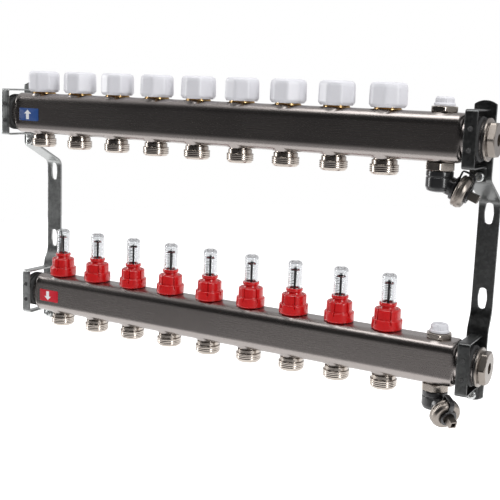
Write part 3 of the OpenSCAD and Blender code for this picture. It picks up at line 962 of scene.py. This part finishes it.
@functools.cache
def figure(text, tall, where):
    """A figure as a thin flat mesh in X and Z, its middle at `where`."""
    curve = bpy.data.curves.new("figure", "FONT")
    curve.body = text
    curve.size = tall * 1.35
    curve.extrude = 0.05
    curve.offset = 0.09
    curve.resolution_u = 2
    curve.align_x = "CENTER"
    holder = bpy.data.objects.new("figure", curve)
    bpy.context.scene.collection.objects.link(holder)
    bpy.context.view_layer.update()
    mesh = bpy.data.meshes.new_from_object(holder)
    bpy.data.objects.remove(holder)
    mesh.calc_loop_triangles()
    points = np.zeros(len(mesh.vertices) * 3)
    mesh.vertices.foreach_get("co", points)
    points = points.reshape(-1, 3)
    triangles = np.zeros(len(mesh.loop_triangles) * 3, int)
    mesh.loop_triangles.foreach_get("vertices", triangles)
    triangles = triangles.reshape(-1, 3)
    flat = np.stack([points[:, 0] + where[0], points[:, 2], points[:, 1] + where[1] - tall / 2], 1)
    return flat, triangles


class MANIFOLD_OT_meter_bases(bpy.types.Operator):
    """Red bases of the flow meters: a spigot inside the knob and a lipped collar"""
    bl_idname = "manifold.meter_bases"
    bl_label = "Meter bases"

    def execute(self, context):
        top = rail_top("supply")
        low, high = corners("meter_bases")
        down, up, knob_up = low[2] - top, high[2] - top, corners("flow_knob_1")[1][2] - top
        rod = 1.25
        outline = [[rod, down], [SEAT_R, down], [SEAT_R, -0.1], [8.95, 0.1], [8.95, knob_up - 0.5],
                   [7.8, knob_up + 0.2], [7.5, up - 3.6], [7.9, up - 3.2], [8.55, up - 2.8],
                   [8.55, up - 0.5], [8.2, up], [5.6, up], [5.6, up - 1.2], [rod, up - 1.2]]
        part = turn(refine(soften(outline, 0.3, 3), 1.5), 72)
        make_piece("meter_collars", repeat(part, in_line("supply", meter_x(), top)),
                   red_plastic(), "frame", ["meter_bases"])
        return {"FINISHED"}


class MANIFOLD_OT_knobs(bpy.types.Operator):
    """Red two-tier knobs of the flow meters"""
    bl_idname = "manifold.knobs"
    bl_label = "Meter knobs"

    def execute(self, context):
        size = sizes()
        for i in range(1, LOOPS + 1):
            low, high = corners(f"flow_knob_{i}")
            widest = (high[0] - low[0]) / 2
            part = knob_part(size["knob_tier"], high[2] - low[2], widest, widest - 2.3, bore=9.35)
            turned = math.radians(-61 + 33 * (i - 7))
            make_piece(f"meter_knob_{i}", [place(part, foot(f"flow_knob_{i}"), turned)],
                       red_plastic(), f"meter_knob_{i}", [f"flow_knob_{i}"])
        return {"FINISHED"}


class MANIFOLD_OT_glasses(bpy.types.Operator):
    """Clear sight glasses with a rounded top, and their printed scales"""
    bl_idname = "manifold.glasses"
    bl_label = "Sight glasses"

    def execute(self, context):
        low, high = corners("sight_glasses")
        tall = high[2] - low[2]
        r = (high[1] - low[1]) / 2
        wall = sizes()["glass_wall"]
        dome, ring_step, ring_depth = 3.4, 2.2, 0.09
        arc = np.linspace(0, math.pi / 2, 8)
        outside = np.stack([r - dome + dome * np.cos(arc), tall - dome + dome * np.sin(arc)], 1)
        inside = np.stack([r - dome + (dome - wall) * np.cos(arc[::-1]),
                           tall - dome + (dome - wall) * np.sin(arc[::-1])], 1)
        dimple = [[2.2, tall], [1.4, tall - 0.5], [0, tall - 0.5], [0, tall - wall]]
        outline = np.vstack([[[r - wall, 0.05], [r, 0.05]], outside, dimple, inside])

        def ringed(radius, height, a):
            on_tube = (radius > r - 0.3) & (height > 1.5) & (height < tall - dome)
            wave = 1 - np.cos(height * TURN / ring_step)
            return np.where(on_tube, radius - ring_depth * wave, radius)
        part = turn(refine(outline, 0.55), 64, ringed)
        make_piece("sight_tubes", repeat(part, in_line("supply", meter_x(), low[2])),
                   clear_plastic(), "frame", ["sight_glasses"])
        marks = []
        for i, at in enumerate(in_line("supply", meter_x(), 0)):
            facing = math.radians(-50 - 2.5 * i + 4 * ((3 * i) % 5 - 2))
            marks += [place(mark, at) for mark in scale_marks(low[2] + 2.2, r, facing)]
        make_piece("printed_scales", marks, scale_ink(), "frame")
        return {"FINISHED"}


class MANIFOLD_OT_floats(bpy.types.Operator):
    """Indicators: a disc with four notches on a black rod, and the vane in the stream"""
    bl_idname = "manifold.floats"
    bl_label = "Indicators"

    def execute(self, context):
        for i in range(1, LOOPS + 1):
            low, high = corners(f"flow_float_{i}")
            tall, vane = high[2] - low[2], (high[0] - low[0]) / 2
            outline = [[0, 0], [vane, 0], [vane, 1.4], [1.6, 1.6], [1.15, 3.0],
                       [1.15, tall - 4.0], [2.2, tall - 3.4], [4.6, tall - 3.2],
                       [4.6, tall - 2.2], [2.4, tall - 1.9], [1.7, tall - 0.4], [0, tall]]

            def notched(r, h, a):
                notch = smooth((np.abs(np.cos(2 * a)) - 0.35) * 2.5)
                on_disc = (h > tall - 3.6) & (r > 2.5)
                return np.where(on_disc, r - 1.5 * (1 - notch), r)
            rows = refine(soften(outline, 0.25, 3, ring=False), 3.0, ring=False)
            part = turn(rows, 48, notched, ring=False)
            make_piece(f"indicator_{i}", [place(part, foot(f"flow_float_{i}"), 0.3 * i)],
                       float_plastic(), f"meter_float_{i}",
                       [f"flow_float_{i}"])
        return {"FINISHED"}


# ---- vents, drains and plugs ----

def nut_part(half, low, high, bore, bevel=0.9, columns=120):
    """Hexagon nut about Z with both faces chamfered and a round bore."""
    rise = np.linspace(0, bevel, 5)
    outer = np.concatenate([low + rise, high - rise[::-1]])
    outline = np.vstack([[[bore, low], [half * 0.9, low], [half * 0.97, low]],
                         np.stack([np.full(len(outer), half), outer], 1),
                         [[half * 0.97, high], [half * 0.9, high], [bore, high]]])
    return turn(refine(outline, 2.5), columns, nut_shape(6, low, high, bevel))


class MANIFOLD_OT_vents(bpy.types.Operator):
    """Vents: a nickel hexagon in each rail and a slotted white knob"""
    bl_idname = "manifold.vents"
    bl_label = "Vents"

    def execute(self, context):
        bodies = []
        for side in SIDES:
            top = rail_top(side)
            knob_low, knob_high = corners(f"{side}_vent_screw")
            widest = (knob_high[0] - knob_low[0]) / 2
            tall = knob_high[2] - top
            hex_top = tall - 8.3
            bore, hex_turn, slot_turn = 3.1, 0.35, 0.5
            at = in_line(side, [service_x()], top)[0]
            stem = turn(soften([[bore, -9], [SEAT_R, -9], [SEAT_R, 0.3], [bore, 0.3]], 0.3, 3), 48)
            nut = nut_part(half=11.2, low=0.15, high=hex_top, bore=bore)
            bodies += [place(stem, at), place(nut, at, hex_turn)]
            outline = [[0, hex_top - 11.7], [2.7, hex_top - 11.7], [3.0, hex_top - 11.2],
                       [3.0, hex_top + 0.3], [widest, hex_top + 0.3], [widest, hex_top + 2.2],
                       [widest - 0.9, hex_top + 2.9], [widest - 1.1, tall - 1.6],
                       [widest - 2.6, tall], [0, tall]]

            def fluted(r, h, a):
                on_grip = (r > widest - 2.0) & (h > hex_top + 2.9)
                return np.where(on_grip, r - 0.22 * np.abs(np.sin(a * 12)), r)
            rows = refine(soften(outline, 0.4, 4, ring=False), 1.0, ring=False)
            knob = make_piece(f"{side}_vent_knob",
                              [place(turn(rows, 144, fluted, ring=False), at, slot_turn)],
                              white_plastic(), f"{side}_vent",
                              [f"{side}_vent_screw"])
            cut(knob, [place(slab(12.5, 1.6, 4, (0, 0, tall + 0.4)), at, slot_turn)])
        make_piece("vent_hexagons", bodies, nickel(), "frame", ["vent_bodies"])
        return {"FINISHED"}


def outlet_axis(side, size):
    """Direction of a drain's outlet, sloping down and turned from the rail's direction."""
    swivel = size[f"{side}_swivel"]
    flat, drop = math.cos(size["drain_tilt"]), math.sin(size["drain_tilt"])
    return np.array([flat * math.cos(swivel), flat * math.sin(swivel), -drop])


class MANIFOLD_OT_drains(bpy.types.Operator):
    """Drains: hexagon nipple, black swivelling body, capped outlet with its strap and key"""
    bl_idname = "manifold.drains"
    bl_label = "Drains"

    def execute(self, context):
        size = sizes()
        nipples = []
        spigot = turn(soften([[6, 2.9], [SEAT_R, 2.9], [SEAT_R, -7.0], [8.95, -7.4],
                              [8.95, -14.4], [6, -14.4]], 0.3, 3), 64)
        nut = nut_part(half=12.05, low=-7.45, high=-0.15, bore=6.1)
        for side in SIDES:
            at = np.array(in_line(side, [service_x()], rail_bottom(side))[0])
            nipples += [place(spigot, at), place(nut, at, math.radians(15))]
            outlet = {"origin": at + [0, 0, -DRAIN_DROP], "axis": outlet_axis(side, size)}
            self.body(side, at, outlet)
            self.strap(side, outlet)
            self.cap(side, outlet)
        make_piece("drain_nuts", nipples, nickel(), "frame", ["drain_nipples"])
        return {"FINISHED"}

    def body(self, side, at, outlet):
        """Upright barrel on the nipple, and the pipe that leaves it along the outlet."""
        r = 12.0
        top = corners(f"{side}_drain_body")[1][2] - at[2]
        bottom = top - 18.5
        barrel = [[9.1, top], [r - 0.3, top], [r, top - 0.8], [r, top - 4.6],
                  [r - 0.5, top - 5.0], [r - 0.5, top - 5.6], [r, top - 6.0], [r, bottom + 4.4],
                  [r - 1.4, bottom + 1.3], [r - 4.5, bottom + 0.1], [3.6, bottom],
                  [3.0, bottom + 0.6], [0, bottom + 0.6], [0, bottom + 4], [6, bottom + 4],
                  [6, top - 7.1], [9.1, top - 7.1]]
        pipe = [[5.5, 2], [8.4, 2], [8.4, 13.2], [8.6, 16.6], [10.3, 17.0], [10.3, 23.8],
                [5.5, 23.8]]
        parts = [place(turn(refine(soften(barrel, 0.5, 4), 1.5), 80), at),
                 place(turn(refine(soften(pipe, 0.3, 3), 1.5), 64), **outlet)]
        make_piece(f"{side}_drain_barrel", parts, black_plastic(), f"{side}_drain",
                   [f"{side}_drain_body"])

    def strap(self, side, outlet):
        """Strap drawn in the outlet's own frame: z along the outlet, x away from the ground. A
        ring on the pipe, a band past the cap's rim and a loop on the cap's face."""
        run = 17.15
        face = CLOSURE_FACE + 0.3
        path = bend([[9.4, 14.9], [run - 0.4, 14.9], [run, 17.5], [run, 24.0], [run - 0.6, 26.2],
                     [14.0, face + 1.0], [7.0, face + 1.0]], 2.0, 6)
        points, faces = ribbon(path, 5.0, 1.5, 0.5)
        band = (points[:, [1, 0, 2]], faces)
        ring = turn(soften([[8.65, 13.6], [10.6, 13.6], [10.6, 16.2], [8.65, 16.2]], 0.4, 4), 64)
        loop = turn(soften([[5.6, face], [8.0, face], [8.0, face + 2], [5.6, face + 2]], 0.45, 4),
                    64)
        parts = [place(part, **outlet) for part in (band, ring, loop)]
        make_piece(f"{side}_drain_tether", parts, black_plastic(), f"{side}_drain",
                   [f"{side}_drain_strap"])

    def cap(self, side, outlet):
        """Cap with a knurled rim, and the hollow square key on its face."""
        start, face = CLOSURE_FOOT, CLOSURE_FACE
        r, key, reach, ribs = 14.4, 3.5, 37.8, 60
        outline = [[10.75, start], [r - 0.9, start], [r, start + 0.9], [r, start + 2.0],
                   [r - 0.45, start + 2.3], [r - 0.45, start + 2.9], [r, start + 3.2],
                   [r, start + 6.0], [r - 1.5, face - 0.5], [r - 2.6, face], [8.6, face],
                   [8.2, face - 0.35], [0, face - 0.35], [0, face - 2], [10.75, face - 2]]
        square = [[0, face - 0.8], [key, face - 0.8], [key, reach], [2.2, reach],
                  [2.2, reach - 5], [0, reach - 5]]

        def four_sided(radius, height, a):
            return radius * flats(4, a, 40)

        def knurled(radius, height, a):
            on_rim = (radius > r - 0.1) & (height > start + 3.0) & (height < start + 6.2)
            return np.where(on_rim, radius - 0.18 * np.abs(np.sin(ribs / 2 * a)), radius)
        parts = [turn(refine(soften(outline, 0.25, 3), 1.2), 240, knurled),
                 turn(refine(soften(square, 0.3, 3), 1.2), 96, four_sided)]
        laid = [place(part, **outlet) for part in parts]
        make_piece(f"{side}_drain_closure", laid, satin_nickel(), f"{side}_drain_closure",
                   [f"{side}_drain_cap"])


class MANIFOLD_OT_plugs(bpy.types.Operator):
    """Flanged hexagon plugs in the right-hand necks"""
    bl_idname = "manifold.plugs"
    bl_label = "End plugs"

    def execute(self, context):
        end_x = corners("end_plugs")[1][0]
        parts = []
        for side in SIDES:
            middle, half = rail(side)
            mouth = middle[0] + half[0]
            seat, inner = 1.0, -12
            flange, face = seat + 2.4, end_x - mouth
            outline = [[0, inner], [14.0, inner], [15.0, inner + 1], [15.0, seat], [18.0, seat],
                       [18.5, seat + 0.5], [18.5, flange - 0.5], [18.0, flange],
                       [15.6, flange + 0.05], [15.6, flange + 0.4], [0, flange + 0.4]]
            body = turn(refine(soften(outline, 0.2, 3, ring=False), 1.5, ring=False), 96,
                        thread_shape(INLET_PITCH, 0.8, inner, seat), ring=False)
            head = nut_part(half=14.4, low=flange + 0.3, high=face, bore=5.2, bevel=1.1)
            floor = turn(soften([[0, face - 3.5], [5.6, face - 3.5], [5.6, face - 4.5],
                                 [0, face - 4.5]], 0.1, 3), 48)
            at = (mouth, middle[1], middle[2])
            parts += [place(part, at, axis=(1, 0, 0)) for part in (body, head, floor)]
        make_piece("end_plugs_nickel", parts, satin_nickel(), "frame", ["end_plugs"])
        return {"FINISHED"}


# ---- brackets ----

def strip_path(low_z, high_z, size):
    """Front face of a wall strip in (y, z), from its lower end up, with round bends."""
    return_mid, supply_mid = rail("return")[0], rail("supply")[0]
    return_y, supply_y = return_mid[1] + STRIP_BEHIND, supply_mid[1] + STRIP_BEHIND
    points = [[supply_y, low_z], [supply_y, -69], [-STRIP_SHEET, -54], [-STRIP_SHEET, 51.5],
              [return_y, return_mid[2] - 38], [return_y, high_z]]
    return soften(points, size["strip_bend"] * 0.6, 9, ring=False)


def strip_sheet(low_z, high_z, size):
    """A wall strip as one flat sheet in (u across, v along), bent round its path. Plain stretches
    are straight grids; round each screw slot the grid's rings run from a rectangle to the slot,
    a point P of the rectangle going to c + r (P - c)/|P - c|, c being its nearest point on the
    slot's middle line. The ends bow outwards."""
    path = unrepeated(strip_path(low_z, high_z, size))
    along = np.concatenate([[0], np.cumsum(np.linalg.norm(np.diff(path, axis=0), axis=1))])
    total = along[-1]
    on_wall = np.flatnonzero(np.abs(path[:, 0] + STRIP_SHEET) < 1e-6)
    v_zero = along[on_wall[0]] - path[on_wall[0], 1]
    half, columns, slot_r, run, reach, bow_r = 10.0, 16, 4.3, 5.7, 15.0, 16
    slot_from_zero = 40
    u_line = np.linspace(-half, half, columns + 1)
    parts = []

    def bent(u, v):
        y = np.interp(v, along, path[:, 0])
        z = np.interp(v, along, path[:, 1])
        return np.stack([u, y, z], -1)

    def stretch(first, last, bow_first=0.0, bow_last=0.0):
        rows = max(2, int((last - first) / 1.5))
        t = np.linspace(0, 1, rows + 1)[:, None]
        arc = bow_r - np.sqrt(bow_r ** 2 - u_line ** 2)[None]
        start, end = first + bow_first * arc, last - bow_last * arc
        v = start + (end - start) * t
        u = np.broadcast_to(u_line, v.shape)
        grid = bent(u, v).reshape(-1, 3)
        parts.append((grid, quads(rows + 1, columns + 1, ring=False, wrap=False)))

    def slotted(middle):
        side = np.linspace(-1, 1, columns + 1)[:-1]
        tall = np.linspace(-1, 1, 21)[:-1]
        right, top = np.ones(len(tall)), np.ones(len(side))
        u = np.concatenate([side, right, -side, -right]) * half
        v = np.concatenate([-top, tall, top, -tall]) * reach
        c = np.stack([0 * u, np.clip(v * run / reach, -run, run)], 1)
        away = np.stack([u, v], 1) - c
        rim = c + slot_r * away / np.linalg.norm(away, axis=1, keepdims=True)
        t = np.linspace(0, 1, 7)[:, None, None] ** 0.8
        rings = np.stack([u, v], 1)[None] * (1 - t) + rim[None] * t
        grid = bent(rings[..., 0], middle + rings[..., 1]).reshape(-1, 3)
        parts.append((grid, quads(7, len(u), ring=False)))

    lower, upper = v_zero - slot_from_zero, v_zero + slot_from_zero
    stretch(0.0, lower - reach, bow_first=1.0)
    slotted(lower)
    stretch(lower + reach, upper - reach)
    slotted(upper)
    stretch(upper + reach, total, bow_last=1.0)
    return parts


class MANIFOLD_OT_wall_strips(bpy.types.Operator):
    """Cranked zinc plated wall strips with their screw slots"""
    bl_idname = "manifold.wall_strips"
    bl_label = "Wall strips"

    def execute(self, context):
        size = sizes()
        # The right-hand strip gets a darker copy of the zinc: painted shade.
        finishes = ("bracket_zinc", "bracket_zinc_dark")
        for end, middle_x, finish in zip(ENDS, strip_x(), finishes):
            node = f"{end}_wall_strip"
            low, high = corners(node)
            moved = [place(part, (middle_x, 0, 0)) for part in strip_sheet(low[2], high[2], size)]
            strip = make_piece(f"{node}_sheet", moved, zinc(finish), "frame",
                               [node], crease=40)
            front_outwards(strip)
            plate = strip.modifiers.new("plate", "SOLIDIFY")
            plate.thickness = STRIP_SHEET * MM
            plate.offset = -1
            edge = strip.modifiers.new("edge", "BEVEL")
            edge.width = 0.35 * MM
            edge.segments = 2
            edge.limit_method = "ANGLE"
            edge.angle_limit = math.radians(50)
        return {"FINISHED"}


def front_outwards(sheet):
    """Turns an open sheet's faces to the front, that is towards -Y."""
    normals = np.zeros(len(sheet.data.polygons) * 3)
    sheet.data.polygons.foreach_get("normal", normals)
    if normals.reshape(-1, 3)[:, 1].sum() > 0:
        sheet.data.flip_normals()


class MANIFOLD_OT_clamps(bpy.types.Operator):
    """Zinc plated straps, bent once round each rail's neck"""
    bl_idname = "manifold.clamps"
    bl_label = "Clamp straps"

    def execute(self, context):
        skin = CLAMP_SHEET / 2
        front, half, back, tongue = skin - 21.4, 25.3 - skin, STRIP_BEHIND - skin, STRIP_BEHIND + 4
        tab_end = -37.5
        u_path = bend([[tongue, half], [back - 1, half], [front, half], [front, -half],
                       [back, -half], [back, tab_end]], sizes()["strap_bend"], 7)
        from_end = np.linalg.norm(u_path - u_path[0], axis=1)
        width = 7 + 4 * smooth((from_end - 4.2) / 0.8)
        part = ribbon(u_path, width, CLAMP_SHEET, 0.35)
        # The left clamps get a lighter copy of the zinc and the right clamps a darker one: painted
        # light and painted shade.
        for end, x, finish in zip(ENDS, strip_x(), ("clamp_zinc", "clamp_zinc_dark")):
            spots = [(x, *rail(side)[0][1:]) for side in SIDES]
            make_piece(f"{end}_clamps", repeat(part, spots), zinc(finish), "frame",
                       ["clamp_straps"] if end == "left" else [])
        return {"FINISHED"}


class MANIFOLD_OT_liners(bpy.types.Operator):
    """Ribbed rubber liners with nibs through the clamps, and the plug gaskets"""
    bl_idname = "manifold.liners"
    bl_label = "Liners and gaskets"

    def execute(self, context):
        parts = []
        half_wide, bore, ribs = 6.5, 16.85, 3
        across = np.linspace(-half_wide, half_wide, 53)
        ridge = 19.0 + 0.55 * np.cos(across / (2 * half_wide) * ribs * TURN)
        outline = np.vstack([np.stack([ridge, across], 1),
                             [[bore, half_wide], [bore, -half_wide]]])
        ring = turn(outline, 96)
        nib = turn(refine(soften([[0, 17.5], [1.5, 17.5], [1.5, 21.4], [2.4, 21.45], [2.2, 22.1],
                                  [0.75, 23.6], [0, 23.8]], 0.25, 4, ring=False), 0.6,
                          ring=False), 32, ring=False)
        gasket = turn(soften([[15.3, 0.02], [17.9, 0.02], [17.9, 0.98], [15.3, 0.98]], 0.2, 4), 96)
        for side in SIDES:
            middle, half = rail(side)
            for x in strip_x():
                at = np.array([x, middle[1], middle[2]])
                parts.append(place(ring, at, axis=(1, 0, 0)))
                parts += [place(nib, at + [0, 0, z], axis=(0, -1, 0)) for z in (-9, 9)]
            parts.append(place(gasket, (middle[0] + half[0], middle[1], middle[2]),
                               axis=(1, 0, 0)))
        make_piece("rubber_liners", parts, rubber(), "frame", ["rubber_seals"])
        return {"FINISHED"}


class MANIFOLD_OT_screws(bpy.types.Operator):
    """Pan-head screws with a cross recess through the clamps' tabs"""
    bl_idname = "manifold.screws"
    bl_label = "Clamp screws"

    def execute(self, context):
        outline = [[0, -9], [1.6, -9], [2.05, -8], [2.05, 0.05], [4.3, 0.05], [4.3, 1.0],
                   [3.6, 2.2], [2.0, 2.6], [0, 2.6]]
        rows = refine(soften(outline, 0.3, 4, ring=False), 0.4, ring=False)
        part = turn(rows, 48, thread_shape(1.2, 0.35, -8, -0.2), ring=False)
        spots, cuts = [], []
        below = 33.5
        for side in SIDES:
            middle, _ = rail(side)
            for x in strip_x():
                at = (x, middle[1] + STRIP_BEHIND - CLAMP_SHEET, middle[2] - below)
                spots.append(place(part, at, axis=(0, -1, 0)))
                turned = 0.4 + len(spots)
                cuts += [place(slab(*arm, 2.8, (0, 0, 2.6)), at, turned, axis=(0, -1, 0))
                         for arm in ((4.6, 1.0), (1.0, 4.6))]
        screws = make_piece("clamp_screw_set", spots, zinc("screw_zinc"), "frame",
                            ["clamp_screws"])
        for k in (0, 1):
            cut(screws, cuts[k::2])
        return {"FINISHED"}


class MANIFOLD_OT_labels(bpy.types.Operator):
    """Printed films with a flow arrow, one for each rail"""
    bl_idname = "manifold.labels"
    bl_label = "Labels"

    def execute(self, context):
        for side in SIDES:
            low, high = corners(f"{side}_label")
            wide, tall = high[0] - low[0], high[2] - low[2]
            corner = soften(np.array([[1, 1], [-1, 1], [-1, -1], [1, -1]]) * [wide / 2, tall / 2],
                            1.2, 6)
            scale = np.array([0, 0.985, 1, 1, 0])[:, None, None]
            depth = np.array([0, 0, 0.08, 0.29, 0.29])[:, None, None]
            flat = corner[None] * scale
            x = flat[..., :1] + (low[0] + high[0]) / 2
            z = flat[..., 1:] + (low[2] + high[2]) / 2
            y = low[1] + depth + 0 * x
            points = np.concatenate([x, y, z], -1).reshape(-1, 3)
            make_piece(f"{side}_film", [(points, quads(5, len(corner), ring=False))],
                       label_film(side), "frame",
                       [f"{side}_label"])
        return {"FINISHED"}


# ---- stage ----

def stand(data, at, axes):
    """Object for a light or a camera at a place in metres; `axes` are its own X, Y and Z."""
    turned = Matrix.Identity(4)
    for column, axis in enumerate(axes):
        for row in range(3):
            turned[row][column] = axis[row]
    turned.translation = at
    holder = bpy.data.objects.new(data.name, data)
    bpy.context.scene.collection.objects.link(holder)
    holder.matrix_world = turned
    return holder


def soft_light(name, at, towards, wide, tall, power):
    """A rectangular soft light at a place, facing a point."""
    light = bpy.data.lights.new(name, "AREA")
    light.shape = "RECTANGLE"
    light.size = wide
    light.size_y = tall
    light.energy = power
    back = np.array(at, float) - np.array(towards, float)
    back /= np.linalg.norm(back)
    side = np.cross([0, 0, 1.0], back)
    side /= np.linalg.norm(side)
    stand(light, at, (side, np.cross(back, side), back))


class MANIFOLD_OT_stage(bpy.types.Operator):
    """Camera, pale floor, pale surroundings that darken in front, and soft studio lights"""
    bl_idname = "manifold.stage"
    bl_label = "Stage"

    def execute(self, context):
        self.camera()
        self.surroundings()
        self.floor()
        middle = (0.26, -0.05, 0.0)
        soft_light("right_softbox", (1.9, -0.95, 0.55), middle, 0.35, 1.5, 17)
        soft_light("left_softbox", (-1.5, -0.45, 0.4), middle, 0.4, 1.4, 16)
        soft_light("top_softbox", (0.3, -0.5, 1.7), middle, 1.5, 0.9, 16)
        return {"FINISHED"}

    def camera(self):
        """The camera stands off its aim point along its azimuth and elevation, rolled a little."""
        aim, distance = np.array([0.2646, 0.0071, -0.0255]), 1.0
        azimuth, elevation, roll = (math.radians(v) for v in (29.063, 9.916, 2.120))
        lens = bpy.data.cameras.new("camera")
        lens.sensor_width = 36
        lens.lens = 67.12
        back = np.array([math.sin(azimuth) * math.cos(elevation),
                         -math.cos(azimuth) * math.cos(elevation), math.sin(elevation)])
        right = np.array([math.cos(azimuth), math.sin(azimuth), 0])
        up = np.cross(back, right)
        c, s = math.cos(roll), math.sin(roll)
        axes = (c * right + s * up, c * up - s * right, back)
        bpy.context.scene.camera = stand(lens, aim + back * distance, axes)

    def surroundings(self):
        """White overhead and behind the object, near black level with its front, grey low down.
        The object's surfaces see this; looked at directly, the surroundings are plain white."""
        world = bpy.data.worlds.new("surroundings")
        world.use_nodes = True
        scene = bpy.context.scene
        scene.world = world
        scene.view_settings.view_transform = "Standard"
        sky = Finish("surroundings", world.node_tree)
        where = sky.node("ShaderNodeTexCoord")
        split = sky.node("ShaderNodeSeparateXYZ", inputs={"Vector": where.outputs["Generated"]})
        x, y, z = (sky.value(split, name) for name in "XYZ")
        behind = (0.25 + 1.6 * y + 1.25 * z).clamped()
        beside = ((abs(x) - 0.80) * 4.0).clamped() * 0.7
        low = ((-0.08 - z) * 3.0).clamped() * 0.8
        bright = behind.either(beside).either(low)
        seen = sky.value(sky.node("ShaderNodeLightPath"), "Is Camera Ray")
        shade = sky.mix(bright, (0.010, 0.010, 0.011, 1), (0.66, 0.655, 0.665, 1))
        backdrop = world.node_tree.nodes.get("Background")
        wire(world.node_tree, sky.mix(seen, shade, (1.0, 1.0, 1.0, 1)), backdrop.inputs["Color"])
        backdrop.inputs["Strength"].default_value = 1.0

    def floor(self):
        """A level disc under the object."""
        low = CAD_BOX[0][2] / MM
        ring = turn([[0, 0], [500, 0], [1500, 0]], 96, ring=False)
        points, faces = place(ring, (260, 1150, low - 120))
        mesh = bpy.data.meshes.new("floor")
        mesh.from_pydata((points * MM).tolist(), [], faces.tolist())
        board = bpy.data.objects.new("floor", mesh)
        bpy.context.scene.collection.objects.link(board)
        pale = Finish("floor")
        grain = pale.noise((3, 3, 3))
        board.data.materials.append(pale.shade(
            Base_Color=pale.mix(grain, (0.88, 0.88, 0.88, 1), (0.92, 0.92, 0.92, 1)),
            Roughness=0.8, Emission_Color=(1.0, 1.0, 1.0, 1), Emission_Strength=0.62))


OPERATORS = (
    MANIFOLD_OT_stage, MANIFOLD_OT_rails, MANIFOLD_OT_outlets, MANIFOLD_OT_valve_inserts,
    MANIFOLD_OT_hand_caps, MANIFOLD_OT_meter_bases, MANIFOLD_OT_knobs, MANIFOLD_OT_glasses,
    MANIFOLD_OT_floats, MANIFOLD_OT_vents, MANIFOLD_OT_drains, MANIFOLD_OT_plugs,
    MANIFOLD_OT_wall_strips, MANIFOLD_OT_clamps, MANIFOLD_OT_liners, MANIFOLD_OT_screws,
    MANIFOLD_OT_labels,
)


class MANIFOLD_PT_pieces(bpy.types.Panel):
    """Sidebar panel with the sizes, the colours and a button for each group of pieces"""
    bl_idname = "MANIFOLD_PT_pieces"
    bl_label = "Heating Manifold"
    bl_space_type = "VIEW_3D"
    bl_region_type = "UI"
    bl_category = "Manifold"

    def draw(self, context):
        for group in (context.scene.manifold_sizes, context.scene.manifold_colours):
            box = self.layout.box()
            for name in type(group).__annotations__:
                box.prop(group, name)
        for operator in OPERATORS:
            self.layout.operator(operator.bl_idname)


CLASSES = (ManifoldSizes, ManifoldColours) + OPERATORS + (MANIFOLD_PT_pieces,)


def register():
    for cls in CLASSES:
        bpy.utils.register_class(cls)
    bpy.types.Scene.manifold_sizes = bpy.props.PointerProperty(type=ManifoldSizes)
    bpy.types.Scene.manifold_colours = bpy.props.PointerProperty(type=ManifoldColours)


def unregister():
    del bpy.types.Scene.manifold_colours
    del bpy.types.Scene.manifold_sizes
    for cls in reversed(CLASSES):
        bpy.utils.unregister_class(cls)


def main():
    register()
    for operator in OPERATORS:
        group, name = operator.bl_idname.split(".")
        getattr(getattr(bpy.ops, group), name)()


if __name__ == "__main__":
    main()
